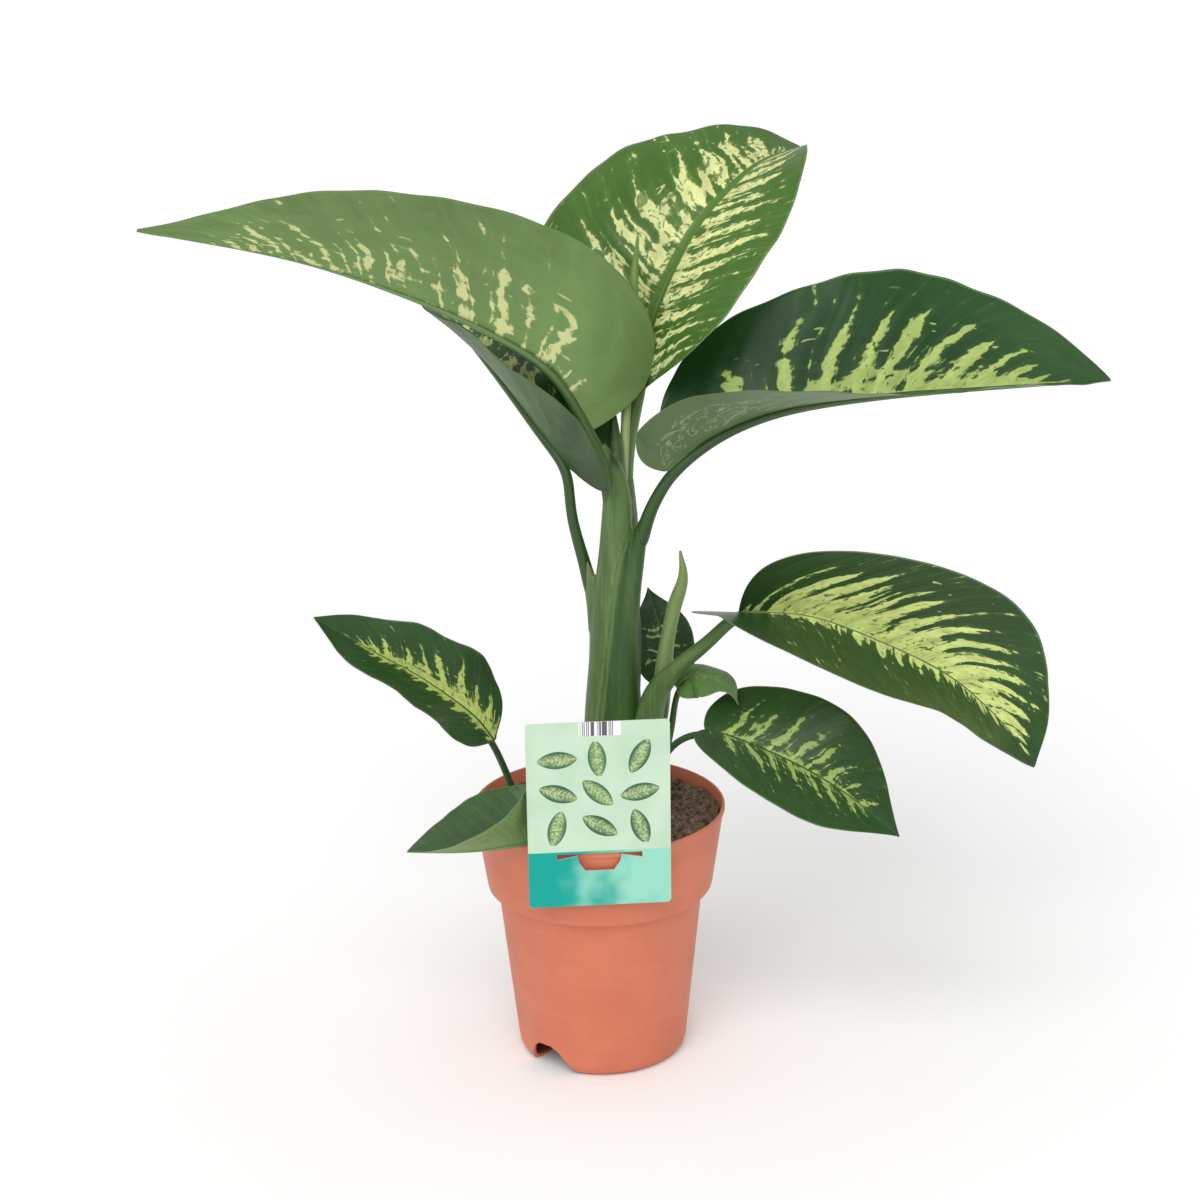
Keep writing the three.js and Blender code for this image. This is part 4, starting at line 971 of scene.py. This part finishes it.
def soilHeight(x, y):
    # the solid model's uneven top with crumbs of three sizes on it
    look = soilLook
    coarse = np.sin(x * 0.21 + 1.3) * np.cos(y * 0.17 - 0.4)
    gentle = np.sin(x * 0.53 - y * 0.31) * np.cos(y * 0.61 + x * 0.13 + 2)
    base = look["level"] + look["slope"] * x + look["relief"] * (0.6 * coarse + 0.5 * gentle)
    crumbs = 1.7 * latticeNoise(x, y, 4.2, 5) + 1.2 * latticeNoise(x, y, 1.9, 6) + 0.7 * latticeNoise(x, y, 0.9, 7)
    return base + crumbs - 0.2


def soilMaterial():
    # damp peat: dark crumbs, browner on the bumps, with pale fibres and grit
    material, start, shader = newMaterial("pottingSoil", {"Specular IOR Level": 0.2})
    place = start.node("ShaderNodeTexCoord", (), (), 3)
    kind = start.value("kind")
    crumb = place.noise(420, 4, 0.65)
    cloud = place.noise(60, 3, 0.5)
    grit = place.noise(1500, 2, 0.5)
    colour = crumb.rise(0.32, 0.7).pick(tone(76, 61, 50), tone(146, 122, 102))
    colour = (cloud.rise(0.4, 0.7) * 0.4).pick(colour, tone(98, 74, 60))
    colour = (grit.rise(0.66, 0.74) * 0.6).pick(colour, tone(150, 130, 112))
    bark = kind.rise(0.15, 0.5).pick(colour, tone(92, 62, 46))
    colour = kind.rise(0.6, 0.95).pick(bark, tone(168, 150, 128))
    connect(start, shader, colour=colour, roughness=crumb * 0.2 + 0.75,
            normal=bump(start, crumb + grit * 0.4, 0.7, 0.0012))
    return material


def makeSoil():
    look = soilLook
    angle = np.linspace(0, 2 * np.pi, look["segments"], endpoint=False)
    ringRadius = np.linspace(0, 1, look["rings"] + 1)[1:] * look["topRadius"]
    x, y = ringRadius[:, None] * np.cos(angle), ringRadius[:, None] * np.sin(angle)
    top = np.stack([x, y, soilHeight(x, y)], -1).reshape(-1, 3)
    lower, _ = turnedPart(np.array(look["lower"]), look["segments"])
    points = np.vstack([top, lower, [0, 0, float(soilHeight(np.array(0.0), np.array(0.0)))], [0, 0, look["lower"][-1][1]]])
    rows = look["rings"] + len(look["lower"])
    quads = gridQuads(rows, look["segments"], True)[:, ::-1]
    j = np.arange(look["segments"])
    ahead = np.roll(j, -1)
    last = (rows - 1) * look["segments"]
    fans = np.vstack([np.stack([np.full(len(j), len(points) - 2), j, ahead], -1),
                      np.stack([np.full(len(j), len(points) - 1), last + ahead, last + j], -1)])
    ground = {"points": points, "quads": quads, "fans": fans, "values": {"kind": np.zeros(len(points))}}

    # crumbs: one eight-sided lump with its edges halved, copied, stretched and turned
    chance = np.random.default_rng(look["seed"])
    tips = np.array([[1, 0, 0], [-1, 0, 0], [0, 1, 0], [0, -1, 0], [0, 0, 1], [0, 0, -1]], float)
    sides = np.array([[0, 2, 4], [2, 1, 4], [1, 3, 4], [3, 0, 4], [2, 0, 5], [1, 2, 5], [3, 1, 5], [0, 3, 5]])
    pairs = np.sort(np.vstack([sides[:, [0, 1]], sides[:, [1, 2]], sides[:, [2, 0]]]), axis=1)
    edges, where = np.unique(pairs, axis=0, return_inverse=True)
    where = where.reshape(3, -1).T + 6
    lump = np.vstack([tips, unit(tips[edges[:, 0]] + tips[edges[:, 1]])])
    lumpFans = np.vstack([np.c_[sides[:, 0], where[:, 0], where[:, 2]], np.c_[sides[:, 1], where[:, 1], where[:, 0]],
                          np.c_[sides[:, 2], where[:, 2], where[:, 1]], np.c_[where[:, 0], where[:, 1], where[:, 2]]])
    count = look["grains"]
    spread, way = np.sqrt(chance.random(count)) * 54.5, chance.random(count) * 2 * np.pi
    gx, gy = spread * np.cos(way), spread * np.sin(way)
    size = 0.35 + 1.35 * chance.random(count) ** 2.2
    stretch = size[:, None] * (0.6 + 0.8 * chance.random((count, 3)))
    spin = unit(chance.normal(size=(count, 4)))
    w, a, b, c = spin.T
    turn = np.stack([1 - 2 * (b * b + c * c), 2 * (a * b - c * w), 2 * (a * c + b * w),
                     2 * (a * b + c * w), 1 - 2 * (a * a + c * c), 2 * (b * c - a * w),
                     2 * (a * c - b * w), 2 * (b * c + a * w), 1 - 2 * (a * a + b * b)], -1).reshape(-1, 3, 3)
    knobs = lump[None] * stretch[:, None] * (0.85 + 0.3 * chance.random((count, len(lump), 1)))
    knobs = np.einsum("nij,nkj->nki", turn, knobs)
    knobs = knobs + np.stack([gx, gy, soilHeight(gx, gy) + 0.15 * size], -1)[:, None]
    kinds = np.where(chance.random(count) < 0.12, 1.0, np.where(chance.random(count) < 0.4, 0.5, 0.1))
    crumbs = {"points": knobs.reshape(-1, 3),
              "fans": (lumpFans[None] + (np.arange(count) * len(lump))[:, None, None]).reshape(-1, 3),
              "values": {"kind": np.repeat(kinds, len(lump))}}
    parts = [ground, crumbs]

    # fibres: short bent threads of root and bark that lie on the top
    for k in range(look["fibres"]):
        far, turnTo = 15 + 38 * chance.random(), chance.random() * 2 * np.pi
        if k < 8:
            far, turnTo = 50 + 4 * chance.random(), -0.35 + 0.5 * chance.random()
        bx, by = far * np.cos(turnTo), far * np.sin(turnTo)
        steps = np.cumsum(chance.normal(scale=1.0, size=(4, 2)) + chance.normal(scale=1.3, size=2), axis=0)
        steps = np.array([bx, by]) + steps - steps[0]
        radius = np.hypot(steps[:, 0], steps[:, 1])
        steps = steps * (np.minimum(radius, 55) / radius)[:, None]
        path = np.c_[steps, soilHeight(steps[:, 0], steps[:, 1]) + 0.7 + 0.6 * chance.random(4)]
        share = np.linspace(0, 1, 14)
        places, ways = followPath(path, share * pathLength(path))
        thread = tubePart(places, ways, 0.16 * (1 - 0.6 * share), 6)
        thread["values"] = {"kind": np.full(len(thread["points"]), 0.8)}
        parts.append(thread)
    makePiece("soil_visual", parts, [soilMaterial()], ["soil"], sharp=50)


makeSoil()
print("soil done")


# plant card: card stock with a scatter of plain leaf shapes, a band and plain bars
cardLook = {
    "place": (0, -60.4 / math.cos(math.radians(4)), 125.4), "lean": 0.5, "turn": 4,
    "mint": (198, 220, 196), "mintDeep": (186, 212, 186), "teal": (0, 160, 148), "aqua": (146, 212, 190),
    "paper": (232, 236, 228), "bandTop": 1.2, "cell": (18.6, 16.6), "corner": (-28, 4.6), "top": 54.4,
    "petal": 9.2, "petalWidth": 4.3, "bars": (-8.5, 10.5, 57.2, 64),
}


def cardMaterial():
    material, start, shader = newMaterial("plantCard", {"Specular IOR Level": 0.25})
    look = cardLook
    place = start.node("ShaderNodeTexCoord", (), (), 3)
    turned = (math.radians(look["lean"]), 0, math.radians(look["turn"]))
    local = start.node("ShaderNodeMapping", {"vector_type": "TEXTURE"},
                       {"Vector": place, "Location": [c * mm for c in look["place"]], "Rotation": turned,
                        "Scale": (mm, mm, mm)})
    x, y, z = local.split()
    cloud = local.noise(0.05, 2, 0.5)
    # band: teal on the left, fading in soft clouds to pale aqua on the right
    fade = (x * 0.03 + (cloud - 0.5) * 2.4 + 0.42).rise(0, 1)
    band = fade.pick(tone(*look["teal"]), tone(*look["aqua"]))
    mint = cloud.rise(0.3, 0.7).pick(tone(*look["mint"]), tone(*look["mintDeep"]))
    colour = (z - look["bandTop"]).rise(-0.25, 0.25, 1, 0).pick(mint, band)
    # a scatter of leaf shapes: one in each cell of a grid, each turned its own way, dark with a
    # pale middle and side veins
    cellX, cellZ = (x - look["corner"][0]) / look["cell"][0], (z - look["corner"][1]) / look["cell"][1]
    luck = start.node("ShaderNodeTexWhiteNoise", {"noise_dimensions": "2D"},
                      {"Vector": start.vector(cellX.whole(), cellZ.whole() + 3, 0)}, 1).split()
    turn = luck[0] * 3.1 + cellX.whole() * 1.3
    dx = (cellX.part() - 0.5) * look["cell"][0] + (luck[1] - 0.5) * 1.2
    dz = (cellZ.part() - 0.5) * look["cell"][1] + (luck[2] - 0.5) * 1.2
    c, s = start.maths("COSINE", turn), start.maths("SINE", turn)
    along = (dx * c + dz * s) / look["petal"]
    off = abs(dz * c - dx * s)
    belly = (1 - along * along).most(0) ** 0.75 * look["petalWidth"]
    petal = (belly - off).rise(0, 0.3)
    petal = petal * z.above(look["corner"][1]) * (1 - z.above(look["top"])) * (1 - abs(x).above(28))
    veins = (abs(((along * 5 + off * 0.35).part() - 0.5)) * 2).rise(0.5, 0.9)
    pale = (belly * 0.62 - off).rise(-0.9, 0.9) * (local.noise(0.8, 3, 0.6).rise(0.4, 0.6) * 0.6 + 0.3)
    petalTone = luck[1].pick(tone(48, 92, 66), tone(74, 120, 74))
    petalTone = (pale * (0.55 + veins * 0.45)).pick(petalTone, tone(206, 222, 164))
    petalTone = (off.rise(0.12, 0.4, 1, 0) * 0.7).pick(petalTone, tone(170, 200, 132))
    colour = petal.pick(colour, petalTone)
    # plain bars on a white patch at the top
    west, east, low, high = look["bars"]
    patch = x.above(west) * (1 - x.above(east)) * z.above(low) * (1 - z.above(high))
    stripe = start.node("ShaderNodeTexWhiteNoise", {"noise_dimensions": "1D"}, {"W": (x * 2.6).whole()}, 0).above(0.48)
    stripe = stripe * x.above(west + 0.6) * (1 - x.above(east - 3.4))
    colour = patch.pick(colour, stripe.pick(tone(236, 238, 236), tone(96, 92, 100)))
    front = y.rise(-0.45, -0.3, 1, 0)
    colour = front.pick(tone(*look["paper"]), colour)
    fibre = local.noise(3.2, 3, 0.6)
    colour = ((fibre - 0.5).rise(0, 0.4) * 0.08).pick(colour, tone(150, 150, 140))
    connect(start, shader, colour=colour, roughness=fibre * 0.15 + 0.35, normal=bump(start, fibre, 0.06, 0.0003))
    return material


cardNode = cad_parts["label_card"]
cardNode.data.materials.clear()
cardNode.data.materials.append(cardMaterial())
print("card done")


view = {"aim": (2.2, 0, 226.4), "distance": 1200, "pitch": 17.9, "roll": -1.0, "focal": 2583, "frame": 1200}
stageLook = {"floor": (251, 251, 251), "world": 0.74, "sun": 1.5, "sunAngle": 40, "sunTurn": (44, 0, -12)}


def makeStage():
    bpy.ops.mesh.primitive_plane_add(size=60, location=(0, 0, 0))
    floor = bpy.context.object
    floor.name = "floor"
    material, start, shader = newMaterial("paleFloor", {"Base Color": tone(*stageLook["floor"]), "Roughness": 0.9,
                                                        "Specular IOR Level": 0.1})
    floor.data.materials.append(material)
    world = bpy.context.scene.world or bpy.data.worlds.new("studio")
    bpy.context.scene.world = world
    world.use_nodes = True
    sky = world.node_tree.nodes["Background"]
    sky.inputs["Color"].default_value = (1, 1, 1, 1)
    sky.inputs["Strength"].default_value = stageLook["world"]
    sun = bpy.data.lights.new("softKey", "SUN")
    sun.energy, sun.angle = stageLook["sun"], math.radians(stageLook["sunAngle"])
    key = bpy.data.objects.new("softKey", sun)
    key.rotation_euler = [math.radians(a) for a in stageLook["sunTurn"]]
    bpy.context.scene.collection.objects.link(key)
    bpy.context.scene.view_settings.view_transform = "Standard"


def makeCamera():
    data = bpy.data.cameras.new("photoView")
    data.sensor_width = 36
    data.lens = view["focal"] / view["frame"] * 36
    data.clip_start, data.clip_end = 0.05, 100
    camera = bpy.data.objects.new("photoView", data)
    bpy.context.scene.collection.objects.link(camera)
    pitch = math.radians(view["pitch"])
    aim = Vector(view["aim"]) * mm
    back = Vector((0, -math.cos(pitch), math.sin(pitch))) * view["distance"] * mm
    turn = Matrix.Rotation(math.radians(90) - pitch, 4, "X") @ Matrix.Rotation(math.radians(view["roll"]), 4, "Z")
    camera.matrix_world = Matrix.Translation(aim + back) @ turn
    bpy.context.scene.camera = camera


makeStage()
makeCamera()
print("stage and camera done")
